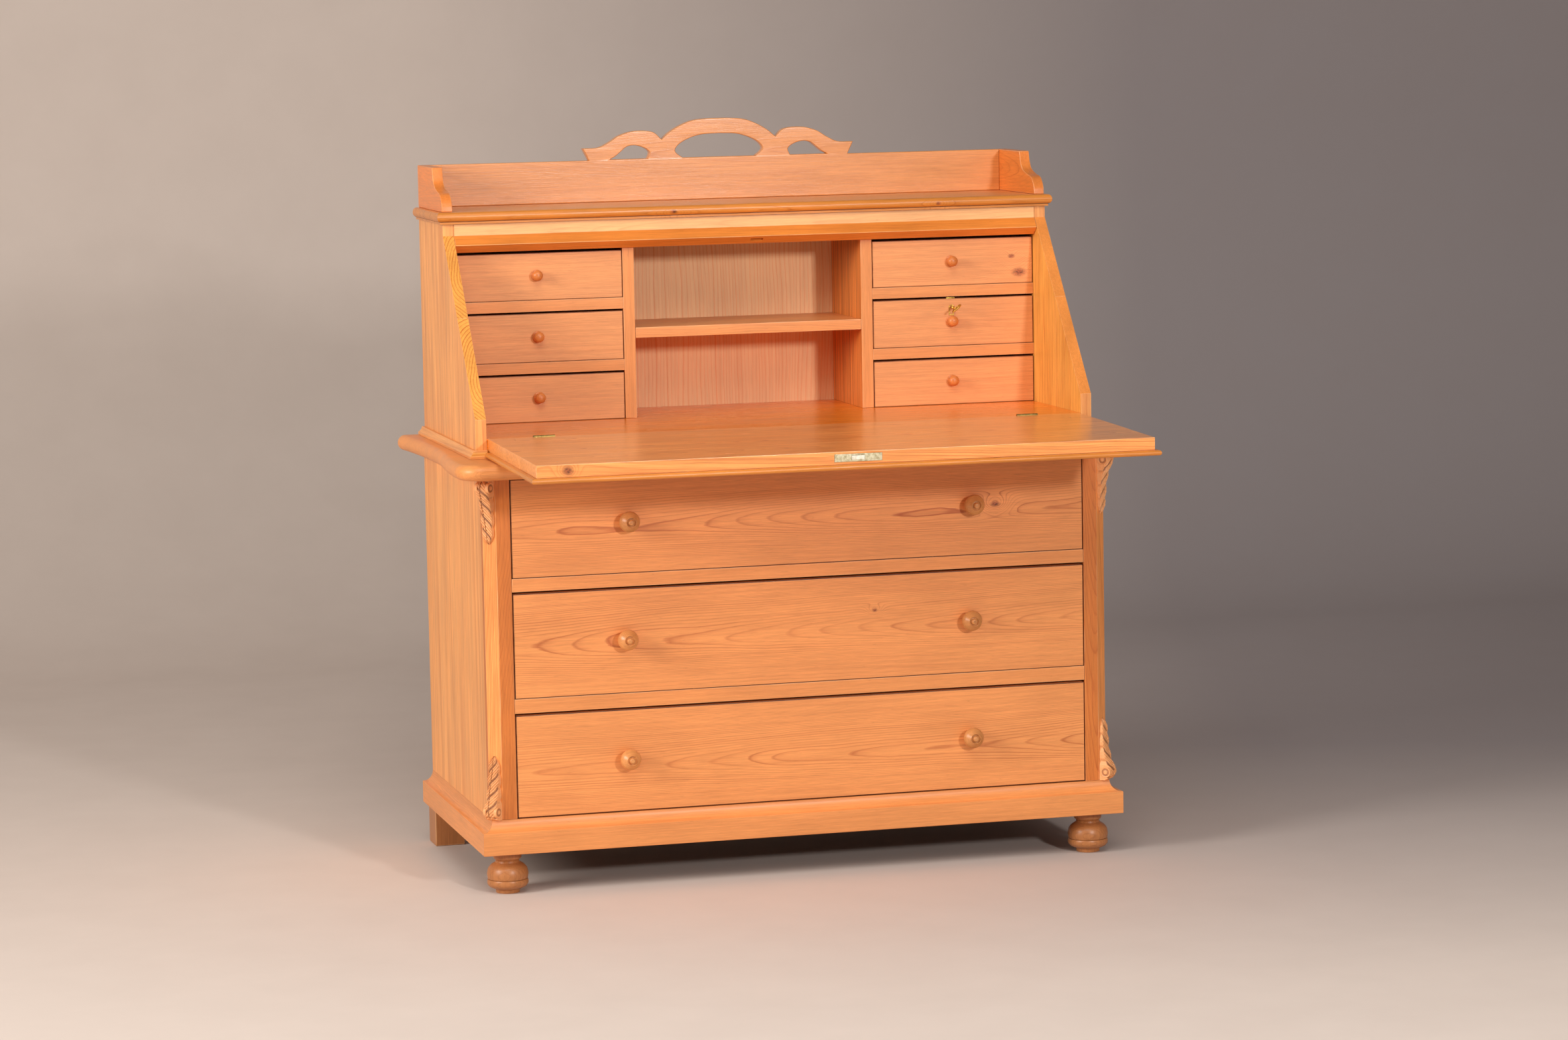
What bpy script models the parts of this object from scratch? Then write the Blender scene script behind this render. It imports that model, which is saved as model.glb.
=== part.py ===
"""Slant-front desk of stripped pine, standing open as it does in a room.

The lower case is a chest of three long drawers between canted corner posts. It stands
on a coved plinth with turned front feet and square rear feet. A waist board with a
rounded edge carries the upper case, whose sides slope back. The fall front lies open
as a writing surface before six small drawers and a pigeonhole. A gallery with a
pierced crest crowns the top.

Metres, +Z up. X runs to the right, the front looks along -Y, and the origin lies on
the floor under the middle of the open desk. Depths are measured forward from the
back of the case.
"""

import math

import bmesh
import bpy
from mathutils import Matrix, Vector

# Clearances
TOUCH = 0.0003           # between pieces that rest on or against each other
OVERRUN = 0.002          # how far a cut runs past the surface that it opens
LIFT = 0.0005            # between a drawer's piece and the wall it slides past

# Angles and counts
SLOPE = math.radians(50.72)       # fall front when it is shut, above the horizontal
LID_DROOP = math.radians(1.1)     # fall front when it is open, below the horizontal
KEY_TURN = math.radians(50.0)     # how far the key's bow leans over
TURNING_STEPS = 24
CURVE_STEPS = 3
NOSE_STEPS = 6

# Lower case
CARCASS_WIDTH = 1.114
CARCASS_DEPTH = 0.541
CARCASS_SIDE = 0.0195
CORNER_CANT = 0.0195
POST_WIDTH = 0.0445
POST_DEPTH = 0.035
BACK_PANEL = 0.0125
BACK_PANEL_INSET = 0.005
BACK_REBATE = 0.0095

# Plinth and feet
FOOT_HEIGHT = 0.073
PLINTH_FACE = 0.039
COVE_HEIGHT = 0.019
COVE_RUN = 0.016
COVE_QUIRK = 0.003
PLINTH_LEDGE = 0.020
BASE_BOARD = 0.019
BASE_PROUD = 0.0012
FOOT_RADIUS = 0.0357
FOOT_INSET = 0.050
FOOT_SPIGOT_RADIUS = 0.010
FOOT_SPIGOT_LENGTH = 0.022
CORNER_BLOCK = 0.080
CORNER_BLOCK_INSET = 0.012
BLOCK_FOOT_WIDTH = 0.054
BLOCK_FOOT_DEPTH = 0.060
BLOCK_FOOT_INSET = 0.010
BLOCK_FOOT_EASE = 0.002

# Long drawers, from the top one down
LONG_DRAWER_HEIGHTS = (0.1708, 0.1817, 0.1780)
LONG_KNOB_OFFSETS = (-0.001, -0.008, -0.008)
RAIL_HEIGHTS = (0.023, 0.025)
DRAWER_TOP_GAP = 0.002
DRAWER_SIDE_GAP = 0.0012
LONG_FRONT = 0.020
LONG_WALL = 0.012
LONG_BOTTOM = 0.008
LONG_BOX_DROP = 0.018
LONG_BACK_SPACE = 0.0332
RAIL_DEPTH = 0.060
RUNNER_WIDTH = 0.070
GUIDE_HEIGHT = 0.020
LONG_KNOB_SPREAD = 0.308
LONG_KNOB_RISES = (0.0045, 0.003, 0.003)
LONG_KNOB_RADIUS = 0.018
LONG_KNOB_LENGTH = 0.036

# Waist board
WAIST_BOARD = 0.0276
WAIST_BACK_OVERHANG = 0.0474
WAIST_NARROW_OVERHANG = 0.034
WAIST_WIDE_OVERHANG = 0.0496
WAIST_FRONT_OVERHANG = 0.046
WAIST_WIDE_SETBACK = 0.077
WAIST_CORNER_RADIUS = 0.045

# Corbels on the canted corners
UPPER_CORBEL_LENGTH = 0.112
LOWER_CORBEL_LENGTH = 0.109
CORBEL_WIDTH = 0.0245
CORBEL_PROJECTION = 0.0225

# Upper case
UPPER_WIDTH = 1.109
UPPER_SIDE = 0.0195
HINGE_SETBACK = 0.0717
SLANT_TOP_RISE = 0.0318
RAIL_FACE = 0.0203
LANDING_WIDTH = 0.022
TOP_RAIL_THICKNESS = 0.026
WAIST_MOULDING_HEIGHT = 0.014
WAIST_MOULDING_RUN = 0.012
BED_THICKNESS = 0.019
BED_BEARER = 0.020

# Fall front
LID_BODY = 0.0215
LID_LIP = 0.009
LIP_OVERHANG = 0.009
LIP_START = 0.0145
LIP_EASE = 0.0025
LID_SIDE_GAP = 0.0024
LID_END_GAP = 0.0015
LID_JOINT_GAP = 0.0004

# Hinges of the fall front
HINGE_INSET = 0.100
HINGE_LENGTH = 0.038
LEAF_DROP = 0.016
LEAF_THICKNESS = 0.0015
BARREL_RADIUS = 0.0028
PIN_RADIUS = 0.0012
BARREL_CLEARANCE = 0.0006

# Lock of the fall front
LOCK_CENTRE = 0.012
LOCK_PLATE_LENGTH = 0.082
LOCK_PLATE_WIDTH = 0.013
LOCK_PLATE = 0.0016
LOCK_CASE_LENGTH = 0.060
LOCK_CASE_WIDTH = 0.011
LOCK_CASE_DEPTH = 0.028
LOCK_BOLT_LENGTH = 0.022
LOCK_BOLT_THICKNESS = 0.007
LOCK_BOLT_REACH = 0.020
STRIKE_DEPTH = 0.010

# Top and gallery
TOP_BOARD = 0.021
TOP_BOARD_OVERHANG = 0.011
TOP_BOARD_FILLET = 0.004
TOP_BOARD_FILLET_INSET = 0.006
TOP_BOARD_NOSE = 0.007
GALLERY_HEIGHT = 0.0756
GALLERY_THICKNESS = 0.018
BRACKET_THICKNESS = 0.019
BRACKET_SETBACK = 0.0026
CREST_HEIGHT = 0.0709
CREST_HALF_WIDTH = 0.254

# Drawer nests and pigeonhole
NEST_SETBACK = 0.0127
PIGEONHOLE_WIDTH = 0.4186
PARTITION = 0.0208
NEST_SHELF = 0.020
NEST_TOP_BOARD = 0.014
PIGEONHOLE_SHELF_RISE = 0.1423
PIGEONHOLE_SHELF = 0.0188
SHELF_SETBACK = 0.001

# Small drawers, from the bottom one up
SMALL_DRAWER_HEIGHTS = (0.0840, 0.0875, 0.0851)
SMALL_ROWS = ("bottom", "middle", "top")
SMALL_DRAWER_TOP_GAP = 0.0018
SMALL_FRONT = 0.014
SMALL_WALL = 0.008
SMALL_BOTTOM = 0.006
SMALL_BOX_DROP = 0.010
SMALL_BACK_SPACE = 0.0092
SMALL_KNOB_OFFSET = -0.004
SMALL_KNOB_RISE = 0.0014
SMALL_KNOB_RADIUS = 0.0095
SMALL_KNOB_LENGTH = 0.0195

# Key, escutcheon and bolt of the middle drawer on the right
KEYHOLE_RISE = 0.0246
KEYHOLE_RADIUS = 0.0028
KEY_SHANK_RADIUS = 0.0021
KEY_SHANK_LENGTH = 0.026
KEY_SHANK_BURIED = 0.0045
KEY_COLLAR_RADIUS = 0.0032
KEY_COLLAR_LENGTH = 0.003
KEY_BOW_RADIUS = 0.0091
KEY_BOW_WIRE = 0.0014
ESCUTCHEON_RADIUS = 0.0048
ESCUTCHEON_DROP = 0.0141
ESCUTCHEON_FOOT = 0.0046
ESCUTCHEON_RIM = 0.0014
ESCUTCHEON = 0.0008
SMALL_BOLT_LENGTH = 0.016
SMALL_BOLT_THICKNESS = 0.004
SMALL_BOLT_HEIGHT = 0.012
SMALL_BOLT_TRAVEL = 0.006

# Outlines as shares of the sizes that they follow: (across, up) pairs
CREST_OUTER_SHARES = (
    ((0.957, 0.0), (1.0, 0.31)),
    ((1.0, 0.31), (0.886, 0.325), (0.802, 0.46), (0.728, 0.62), (0.62, 0.72), (0.49, 0.69),
     (0.421, 0.49)),
    ((0.421, 0.49), (0.362, 0.67), (0.285, 0.83), (0.193, 0.955), (0.09, 0.995), (0.0, 1.0)),
)
CREST_SIDE_HOLE_SHARES = (
    (0.527, 0.012), (0.512, 0.17), (0.551, 0.29), (0.62, 0.36), (0.677, 0.33), (0.719, 0.22),
    (0.76, 0.10), (0.805, 0.012),
)
CREST_ARCH_SHARES = (
    (0.27, 0.012), (0.323, 0.176), (0.30, 0.34), (0.228, 0.49), (0.13, 0.59), (0.0, 0.616),
)
BRACKET_SHARES = (
    (0.613, 1.0), (0.6445, 0.738), (0.691, 0.582), (0.80, 0.474), (0.92, 0.398), (0.986, 0.20),
    (1.0, 0.0),
)
# Turned pieces: (radius, height) pairs
FOOT_SHARES = (
    (0.574, 0.0), (0.588, 0.082), (0.686, 0.103), (0.896, 0.151), (1.0, 0.246), (0.966, 0.323),
    (0.910, 0.333), (0.966, 0.342), (1.0, 0.466), (0.952, 0.575), (0.784, 0.671),
    (0.602, 0.726), (0.569, 0.767), (0.658, 0.815), (0.686, 0.849), (0.686, 0.9959),
)
LONG_KNOB_SHARES = (
    (0.66, 0.0), (0.62, 0.10), (0.64, 0.20), (0.80, 0.32), (0.96, 0.44), (1.0, 0.54),
    (0.94, 0.63), (0.72, 0.78), (0.53, 0.87), (0.47, 0.90), (0.42, 0.84), (0.30, 0.83),
    (0.26, 0.95), (0.14, 1.0),
)
SMALL_KNOB_SHARES = (
    (1.06, 0.0), (1.06, 0.09), (0.66, 0.16), (0.60, 0.27), (0.88, 0.42), (1.0, 0.58),
    (0.92, 0.78), (0.66, 0.92), (0.30, 1.0),
)
# Corbel: projection and width at each share of the length, from the scroll to the tip
CORBEL_SHARES = (
    (0.0, 0.52, 1.0), (0.06, 0.88, 1.0), (0.14, 1.0, 1.0), (0.26, 0.88, 1.0), (0.40, 0.64, 0.96),
    (0.55, 0.44, 0.90), (0.70, 0.30, 0.84), (0.85, 0.24, 0.66), (0.95, 0.20, 0.40),
    (1.0, 0.10, 0.16),
)
# Single shares
CORBEL_EDGE_SHARE = 0.72
CORBEL_CROWN_SHARE = 0.5
KEY_COLLAR_SHARE = 0.45
KEY_BOW_SHARE = 0.75
WAIST_NARROW_SHARE = 0.46
MOULDING_SHARES = ((1.0, 0.0), (1.0, 0.32), (0.78, 0.42), (0.55, 0.66), (0.42, 0.86), (0.42, 1.0))

# Places worked out from the sizes above
HALF_CARCASS = CARCASS_WIDTH / 2
CARCASS_INNER = HALF_CARCASS - CARCASS_SIDE
POST_OUTER = HALF_CARCASS - CORNER_CANT
POST_INNER = HALF_CARCASS - POST_WIDTH
HALF_UPPER = UPPER_WIDTH / 2
UPPER_INNER = HALF_UPPER - UPPER_SIDE
CARCASS_BOTTOM = FOOT_HEIGHT + PLINTH_FACE + COVE_HEIGHT
BASE_TOP = CARCASS_BOTTOM + BASE_PROUD
DRAWER_GAPS = TOUCH + DRAWER_TOP_GAP
WAIST_BOTTOM = BASE_TOP + sum(LONG_DRAWER_HEIGHTS) + sum(RAIL_HEIGHTS) + 3 * DRAWER_GAPS
WAIST_TOP = WAIST_BOTTOM + WAIST_BOARD
WAIST_FRONT = CARCASS_DEPTH + WAIST_FRONT_OVERHANG
WAIST_NOSE = WAIST_BOARD / 2
WAIST_NARROW_DEPTH = WAIST_FRONT * WAIST_NARROW_SHARE
WAIST_WIDE_DEPTH = WAIST_FRONT - WAIST_WIDE_SETBACK
HINGE_DEPTH = CARCASS_DEPTH - HINGE_SETBACK
HINGE_SPREAD = UPPER_INNER - HINGE_INSET
LID_THICKNESS = LID_BODY + LID_LIP
LID_REST_DEPTH = WAIST_FRONT - WAIST_NOSE
BED_TOP = (WAIST_TOP + TOUCH + LID_THICKNESS / math.cos(LID_DROOP)
           + (LID_REST_DEPTH - HINGE_DEPTH) * math.tan(LID_DROOP))
SEAT_LEVEL = LID_BODY - TOUCH
CORNER_TOP = BED_TOP + SEAT_LEVEL / math.cos(SLOPE)
NEST_CEILING = (BED_TOP + sum(SMALL_DRAWER_HEIGHTS) + 3 * (TOUCH + SMALL_DRAWER_TOP_GAP)
                + 2 * NEST_SHELF)
SLANT_TOP = NEST_CEILING + SLANT_TOP_RISE
SLANT_RUN = (SLANT_TOP - CORNER_TOP) / math.tan(SLOPE)
UPPER_TOP_DEPTH = HINGE_DEPTH - SLANT_RUN
NEST_DEPTH = UPPER_TOP_DEPTH - NEST_SETBACK
BRACKET_DEPTH = UPPER_TOP_DEPTH - BRACKET_SETBACK
UPPER_TOP = SLANT_TOP + RAIL_FACE
STEP_REACH = (SLANT_RUN * math.cos(SLOPE) + (SLANT_TOP - BED_TOP) * math.sin(SLOPE)
              - LANDING_WIDTH)
LID_LENGTH = STEP_REACH - LID_END_GAP
LID_HALF = UPPER_INNER - LID_SIDE_GAP
OPEN_DEPTH = (HINGE_DEPTH + (LID_LENGTH + LIP_OVERHANG) * math.cos(LID_DROOP)
              - LID_BODY * math.sin(LID_DROOP))
BACK_Y = OPEN_DEPTH / 2
CLOSING_TURN = SLOPE - math.pi
PANEL_FRONT = BACK_PANEL_INSET + BACK_PANEL
PANEL_HALF = UPPER_INNER + BACK_REBATE
INNER_BACK = PANEL_FRONT + TOUCH
TOP_BOARD_TOP = UPPER_TOP + TOP_BOARD
GALLERY_TOP = TOP_BOARD_TOP + GALLERY_HEIGHT
BRACKET_INNER = HALF_UPPER - BRACKET_THICKNESS
PARTITION_INNER = PIGEONHOLE_WIDTH / 2
PARTITION_OUTER = PARTITION_INNER + PARTITION
LONG_BOX_LENGTH = CARCASS_DEPTH - LONG_FRONT - INNER_BACK - LONG_BACK_SPACE
SMALL_BOX_LENGTH = NEST_DEPTH - SMALL_FRONT - INNER_BACK - SMALL_BACK_SPACE
SMALL_CENTRE = (PARTITION_OUTER + UPPER_INNER) / 2
SMALL_HALF = (UPPER_INNER - PARTITION_OUTER) / 2 - DRAWER_SIDE_GAP
LONG_HALF = POST_INNER - DRAWER_SIDE_GAP


def clear_scene():
    """Remove every object of the scene, so that the part stands alone."""
    for leftover in list(bpy.data.objects):
        bpy.data.objects.remove(leftover, do_unlink=True)


def make_material(name, colour, roughness, metallic):
    """Return a material with the piece's colour, roughness and metallic value."""
    material = bpy.data.materials.new(name)
    material.use_nodes = True
    shader = material.node_tree.nodes["Principled BSDF"]
    shader.inputs["Base Color"].default_value = (*colour, 1.0)
    shader.inputs["Roughness"].default_value = roughness
    shader.inputs["Metallic"].default_value = metallic
    return material


def at(across, depth, height):
    """Return the world place at a distance across, forward of the back, and up."""
    return Vector((across, BACK_Y - depth, height))


def add_object(name, mesh, material=None, parent=None):
    """Link an object that holds the mesh, and return it."""
    piece = bpy.data.objects.new(name, mesh)
    bpy.context.scene.collection.objects.link(piece)
    if material:
        mesh.materials.append(material)
    if parent:
        piece.parent = parent
    return piece


def set_origin(piece, origin):
    """Move the object's origin to a place, and leave its shape where it is."""
    piece.data.transform(Matrix.Translation(-origin))
    piece.location = origin
    return piece


def mesh_from(name, vertices, faces):
    """Return a mesh of the given faces, wound so that they look outwards."""
    work = bmesh.new()
    corners = [work.verts.new(vertex) for vertex in vertices]
    for face in faces:
        work.faces.new([corners[index] for index in face])
    bmesh.ops.recalc_face_normals(work, faces=work.faces)
    mesh = bpy.data.meshes.new(name)
    work.to_mesh(mesh)
    work.free()
    return mesh


def prism(name, outline, axis, low, high, material=None, parent=None):
    """Extrude a closed outline along X, Y or Z from low to high.

    The outline's pairs are (y, z) for X, (x, z) for Y and (x, y) for Z.
    """
    place = {"X": lambda a, b, c: (c, a, b), "Y": lambda a, b, c: (a, c, b),
             "Z": lambda a, b, c: (a, b, c)}[axis]
    count = len(outline)
    vertices = [Vector(place(a, b, low)) for a, b in outline]
    vertices += [Vector(place(a, b, high)) for a, b in outline]
    faces = [tuple(range(count)), tuple(range(count, 2 * count))]
    faces += [(i, (i + 1) % count, count + (i + 1) % count, count + i) for i in range(count)]
    return add_object(name, mesh_from(name, vertices, faces), material, parent)


def block(name, low, high, material=None, parent=None):
    """Make a rectangular block between two corners."""
    outline = ((low[0], low[1]), (high[0], low[1]), (high[0], high[1]), (low[0], high[1]))
    return prism(name, outline, "Z", low[2], high[2], material, parent)


def board(name, sides, depths, heights, material=None):
    """Make a board from its reach across, forward of the back, and up."""
    low = at(sides[0], depths[1], heights[0])
    high = at(sides[1], depths[0], heights[1])
    return block(name, low, high, material)


def turned(name, profile, material=None, steps=TURNING_STEPS):
    """Turn a profile of (radius, height) pairs round Z, closed by flat ends."""
    vertices = []
    for radius, height in profile:
        for step in range(steps):
            angle = math.tau * (step + 0.5) / steps
            vertices.append(Vector((radius * math.cos(angle), radius * math.sin(angle), height)))
    faces = [tuple(range(steps)), tuple(range(len(vertices) - steps, len(vertices)))]
    for ring in range(len(profile) - 1):
        base = ring * steps
        for step in range(steps):
            after = (step + 1) % steps
            faces.append((base + step, base + after, base + steps + after, base + steps + step))
    mesh = mesh_from(name, vertices, faces)
    mesh.shade_smooth()
    mesh.set_sharp_from_angle(angle=math.radians(40.0))
    return add_object(name, mesh, material)


def combine(target, tool, operation):
    """Join the tool to the target, or cut the target with it."""
    modifier = target.modifiers.new(tool.name, "BOOLEAN")
    modifier.object = tool
    modifier.operation = operation
    modifier.solver = "EXACT"
    tool.hide_render = True
    tool.display_type = "WIRE"


def cut(target, *tools):
    """Cut each tool's shape out of the target."""
    for tool in tools:
        combine(target, tool, "DIFFERENCE")


def join(target, *tools):
    """Join each tool's shape to the target, as glued pieces are."""
    for tool in tools:
        combine(target, tool, "UNION")


def ease_edges(piece, width, segments=2):
    """Round the sharp edges of a piece slightly."""
    modifier = piece.modifiers.new("eased_edges", "BEVEL")
    modifier.width = width
    modifier.segments = segments
    modifier.limit_method = "ANGLE"
    modifier.angle_limit = math.radians(40.0)


def smooth_line(points, steps=CURVE_STEPS):
    """Return a smooth line through the points, with a few steps between each two."""
    ends = [points[0], *points, points[-1]]
    line = []
    for before, start, finish, after in zip(ends, ends[1:], ends[2:], ends[3:]):
        for step in range(steps):
            t = step / steps
            line.append(tuple(
                0.5 * (2 * b + (c - a) * t + (2 * a - 5 * b + 4 * c - d) * t ** 2
                       + (3 * b - a - 3 * c + d) * t ** 3)
                for a, b, c, d in zip(before, start, finish, after)))
    line.append(tuple(points[-1]))
    return line


def scaled(shares, across, up, origin=(0.0, 0.0)):
    """Turn a table of shares into points of the real sizes."""
    return [(origin[0] + a * across, origin[1] + b * up) for a, b in shares]


def mirrored(points):
    """Return the points with their mirror images before them, left to right."""
    left = [(-a, b) for a, b in points]
    return left + [point for point in reversed(points) if point[0] > OVERRUN]


def shifted_line(points, amount):
    """Move an open line sideways to its right by an amount, with mitred corners.

    The line's two ends stay square to the case.
    """
    moved = []
    for index, here in enumerate(points):
        here = Vector(here)
        before = Vector(points[max(index - 1, 0)])
        after = Vector(points[min(index + 1, len(points) - 1)])
        into = (here - before).normalized() if index else (after - here).normalized()
        out = (after - here).normalized() if index < len(points) - 1 else into
        normal = Vector((into.y, -into.x)) + Vector((out.y, -out.x))
        normal = normal / (1 + into.dot(out))
        if index in (0, len(points) - 1):
            normal = Vector((round(normal.x), round(normal.y)))
        moved.append(here + normal * amount)
    return moved


def moulding(name, line, profile, material=None):
    """Sweep a closed profile of (run, height) pairs along an open line on the plan."""
    rings = [[Vector((p.x, p.y, height)) for p in shifted_line(line, run)]
             for run, height in profile]
    count = len(line)
    loop = len(profile)
    vertices = [vertex for ring in rings for vertex in ring]
    faces = [tuple(ring * count for ring in range(loop)),
             tuple(ring * count + count - 1 for ring in range(loop))]
    for ring in range(loop):
        after = (ring + 1) % loop
        for i in range(count - 1):
            faces.append((ring * count + i, ring * count + i + 1,
                          after * count + i + 1, after * count + i))
    return add_object(name, mesh_from(name, vertices, faces), material)


def edged_board(name, line, rings, material=None):
    """Stack rings of (inset, height) round an open line, closed by a straight back."""
    levels = []
    for inset, height in rings:
        level = [Vector((p.x, p.y, height)) for p in shifted_line(line, -inset)]
        levels.append(level)
    count = len(line)
    vertices = [vertex for level in levels for vertex in level]
    faces = [tuple(range(count)), tuple(range(len(vertices) - count, len(vertices)))]
    for level in range(len(levels) - 1):
        for i in range(count):
            after = (i + 1) % count
            faces.append((level * count + i, level * count + after,
                          (level + 1) * count + after, (level + 1) * count + i))
    return add_object(name, mesh_from(name, vertices, faces), material)


def nose_rings(run, low, high, steps=NOSE_STEPS):
    """Return the rings of a rounded edge between two heights."""
    middle = (low + high) / 2
    half = (high - low) / 2
    angles = [math.pi * (step / steps - 0.5) for step in range(steps + 1)]
    return [(run * (1 - math.cos(angle)), middle + half * math.sin(angle)) for angle in angles]


def plan_line(points):
    """Turn (across, depth) pairs into a line on the plan."""
    return [(across, BACK_Y - depth) for across, depth in points]


def section(points):
    """Turn (depth, height) pairs into an outline across the case."""
    return [(BACK_Y - depth, height) for depth, height in points]


def make_plinth(pine):
    """Build the plinth: a coved frame, its rear rail and the four corner blocks."""
    outer = COVE_RUN + COVE_QUIRK
    face_top = FOOT_HEIGHT + PLINTH_FACE
    cove = [(COVE_RUN * (1 - math.sin(angle)), face_top + COVE_HEIGHT * (1 - math.cos(angle)))
            for angle in (math.radians(15.0 * step) for step in range(7))]
    profile = [(-PLINTH_LEDGE, FOOT_HEIGHT), (outer, FOOT_HEIGHT), (outer, face_top)]
    profile += cove + [(-PLINTH_LEDGE, CARCASS_BOTTOM)]
    line = plan_line(((-HALF_CARCASS, 0.0), (-HALF_CARCASS, CARCASS_DEPTH),
                      (HALF_CARCASS, CARCASS_DEPTH), (HALF_CARCASS, 0.0)))
    plinth = moulding("plinth", line[::-1], [(-run, height) for run, height in profile], pine)
    block_top = BASE_TOP - BASE_BOARD - TOUCH
    rail = board("plinth_rear_rail", (-HALF_CARCASS, HALF_CARCASS), (0.0, PLINTH_LEDGE),
                 (FOOT_HEIGHT, block_top))
    join(plinth, rail)
    half = HALF_CARCASS + outer
    front = CARCASS_DEPTH + outer
    for side in (-1, 1):
        sides = sorted((side * (half - CORNER_BLOCK_INSET),
                        side * (half - CORNER_BLOCK_INSET - CORNER_BLOCK)))
        front_block = board("plinth_front_block", sides,
                            (front - CORNER_BLOCK_INSET - CORNER_BLOCK, front - CORNER_BLOCK_INSET),
                            (FOOT_HEIGHT, block_top))
        rear_block = board("plinth_rear_block", sides, (TOUCH, CORNER_BLOCK),
                           (FOOT_HEIGHT, block_top))
        join(plinth, front_block, rear_block)
        socket = turned("plinth_socket", (
            (FOOT_SPIGOT_RADIUS + TOUCH, -OVERRUN),
            (FOOT_SPIGOT_RADIUS + TOUCH, FOOT_SPIGOT_LENGTH + LIFT)))
        socket.location = at(side * (half - FOOT_INSET), front - FOOT_INSET, FOOT_HEIGHT)
        cut(plinth, socket)
    return plinth


def make_feet(pale_pine, pine):
    """Build the turned front feet and the square rear feet."""
    half = HALF_CARCASS + COVE_RUN + COVE_QUIRK
    front = CARCASS_DEPTH + COVE_RUN + COVE_QUIRK
    profile = scaled(FOOT_SHARES, FOOT_RADIUS, FOOT_HEIGHT)
    shoulder = profile[-1][1]
    profile += [(FOOT_SPIGOT_RADIUS, shoulder), (FOOT_SPIGOT_RADIUS, FOOT_HEIGHT + FOOT_SPIGOT_LENGTH)]
    for side, word in ((-1, "left"), (1, "right")):
        bun = turned(f"bun_foot_{word}", profile, pale_pine)
        bun.location = at(side * (half - FOOT_INSET), front - FOOT_INSET, 0.0)
        outer = half - BLOCK_FOOT_INSET
        sides = sorted((side * outer, side * (outer - BLOCK_FOOT_WIDTH)))
        foot = board(f"block_foot_{word}", sides, (0.0, BLOCK_FOOT_DEPTH),
                     (0.0, FOOT_HEIGHT - TOUCH), pine)
        ease_edges(foot, BLOCK_FOOT_EASE)


def make_carcass(pine, side_pine):
    """Build the lower case: sides, corner posts, base board and the two drawer frames."""
    low = CARCASS_BOTTOM + TOUCH
    high = WAIST_BOTTOM - TOUCH
    post_back = CARCASS_DEPTH - POST_DEPTH
    for side, word in ((-1, "left"), (1, "right")):
        panel = board(f"carcass_side_{word}",
                      sorted((side * CARCASS_INNER, side * HALF_CARCASS)),
                      (0.0, post_back - TOUCH), (low, high), side_pine)
        rebate = board("side_rebate",
                       sorted((side * (CARCASS_INNER - OVERRUN), side * (PANEL_HALF + TOUCH))),
                       (-OVERRUN, PANEL_FRONT + TOUCH), (low - OVERRUN, high + OVERRUN))
        cut(panel, rebate)
        corner = [(POST_INNER, CARCASS_DEPTH), (POST_OUTER, CARCASS_DEPTH),
                  (HALF_CARCASS, CARCASS_DEPTH - CORNER_CANT), (HALF_CARCASS, post_back),
                  (POST_INNER, post_back)]
        outline = plan_line([(side * across, depth) for across, depth in corner])
        prism(f"corner_post_{word}", outline, "Z", low, high, pine)
    board("back_panel", (-PANEL_HALF, PANEL_HALF), (BACK_PANEL_INSET, PANEL_FRONT),
          (BASE_TOP + TOUCH, UPPER_TOP - TOUCH), side_pine)
    inner = HALF_CARCASS - PLINTH_LEDGE - TOUCH
    narrow = POST_INNER - TOUCH
    front = CARCASS_DEPTH - PLINTH_LEDGE - TOUCH
    outline = plan_line(((-inner, 0.0), (inner, 0.0), (inner, post_back - 2 * TOUCH),
                         (narrow, post_back - 2 * TOUCH), (narrow, front), (-narrow, front),
                         (-narrow, post_back - 2 * TOUCH), (-inner, post_back - 2 * TOUCH)))
    base = prism("base_board", outline, "Z", BASE_TOP - BASE_BOARD, BASE_TOP, pine)
    add_guides(base, BASE_TOP, inner)
    heights = list(reversed(LONG_DRAWER_HEIGHTS))
    level = BASE_TOP
    for word, height, rail in zip(("lower", "upper"), heights, reversed(RAIL_HEIGHTS)):
        level += height + DRAWER_GAPS
        make_drawer_frame(f"drawer_frame_{word}", level, level + rail, pine)
        level += rail


def add_guides(piece, top, reach):
    """Join the two strips that keep a long drawer straight to what it runs on."""
    for side in (-1, 1):
        strip = board("guide_strip", sorted((side * POST_INNER, side * reach)),
                      (INNER_BACK, CARCASS_DEPTH - POST_DEPTH - 2 * TOUCH),
                      (top - OVERRUN, top + GUIDE_HEIGHT))
        join(piece, strip)


def make_drawer_frame(name, low, high, pine):
    """Build a rail with its runners, rear rail and guides, as one glued frame."""
    post_back = CARCASS_DEPTH - POST_DEPTH - 2 * TOUCH
    reach = CARCASS_INNER - TOUCH
    rail_half = POST_INNER - TOUCH
    outline = plan_line(((-rail_half, CARCASS_DEPTH), (-rail_half, post_back), (-reach, post_back),
                         (-reach, INNER_BACK), (reach, INNER_BACK), (reach, post_back),
                         (rail_half, post_back), (rail_half, CARCASS_DEPTH)))
    frame = prism(name, outline, "Z", low, high, pine)
    window = board("frame_window", (-reach + RUNNER_WIDTH, reach - RUNNER_WIDTH),
                   (INNER_BACK + RAIL_DEPTH, CARCASS_DEPTH - RAIL_DEPTH),
                   (low - OVERRUN, high + OVERRUN))
    cut(frame, window)
    add_guides(frame, high, reach)
    return frame


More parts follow.
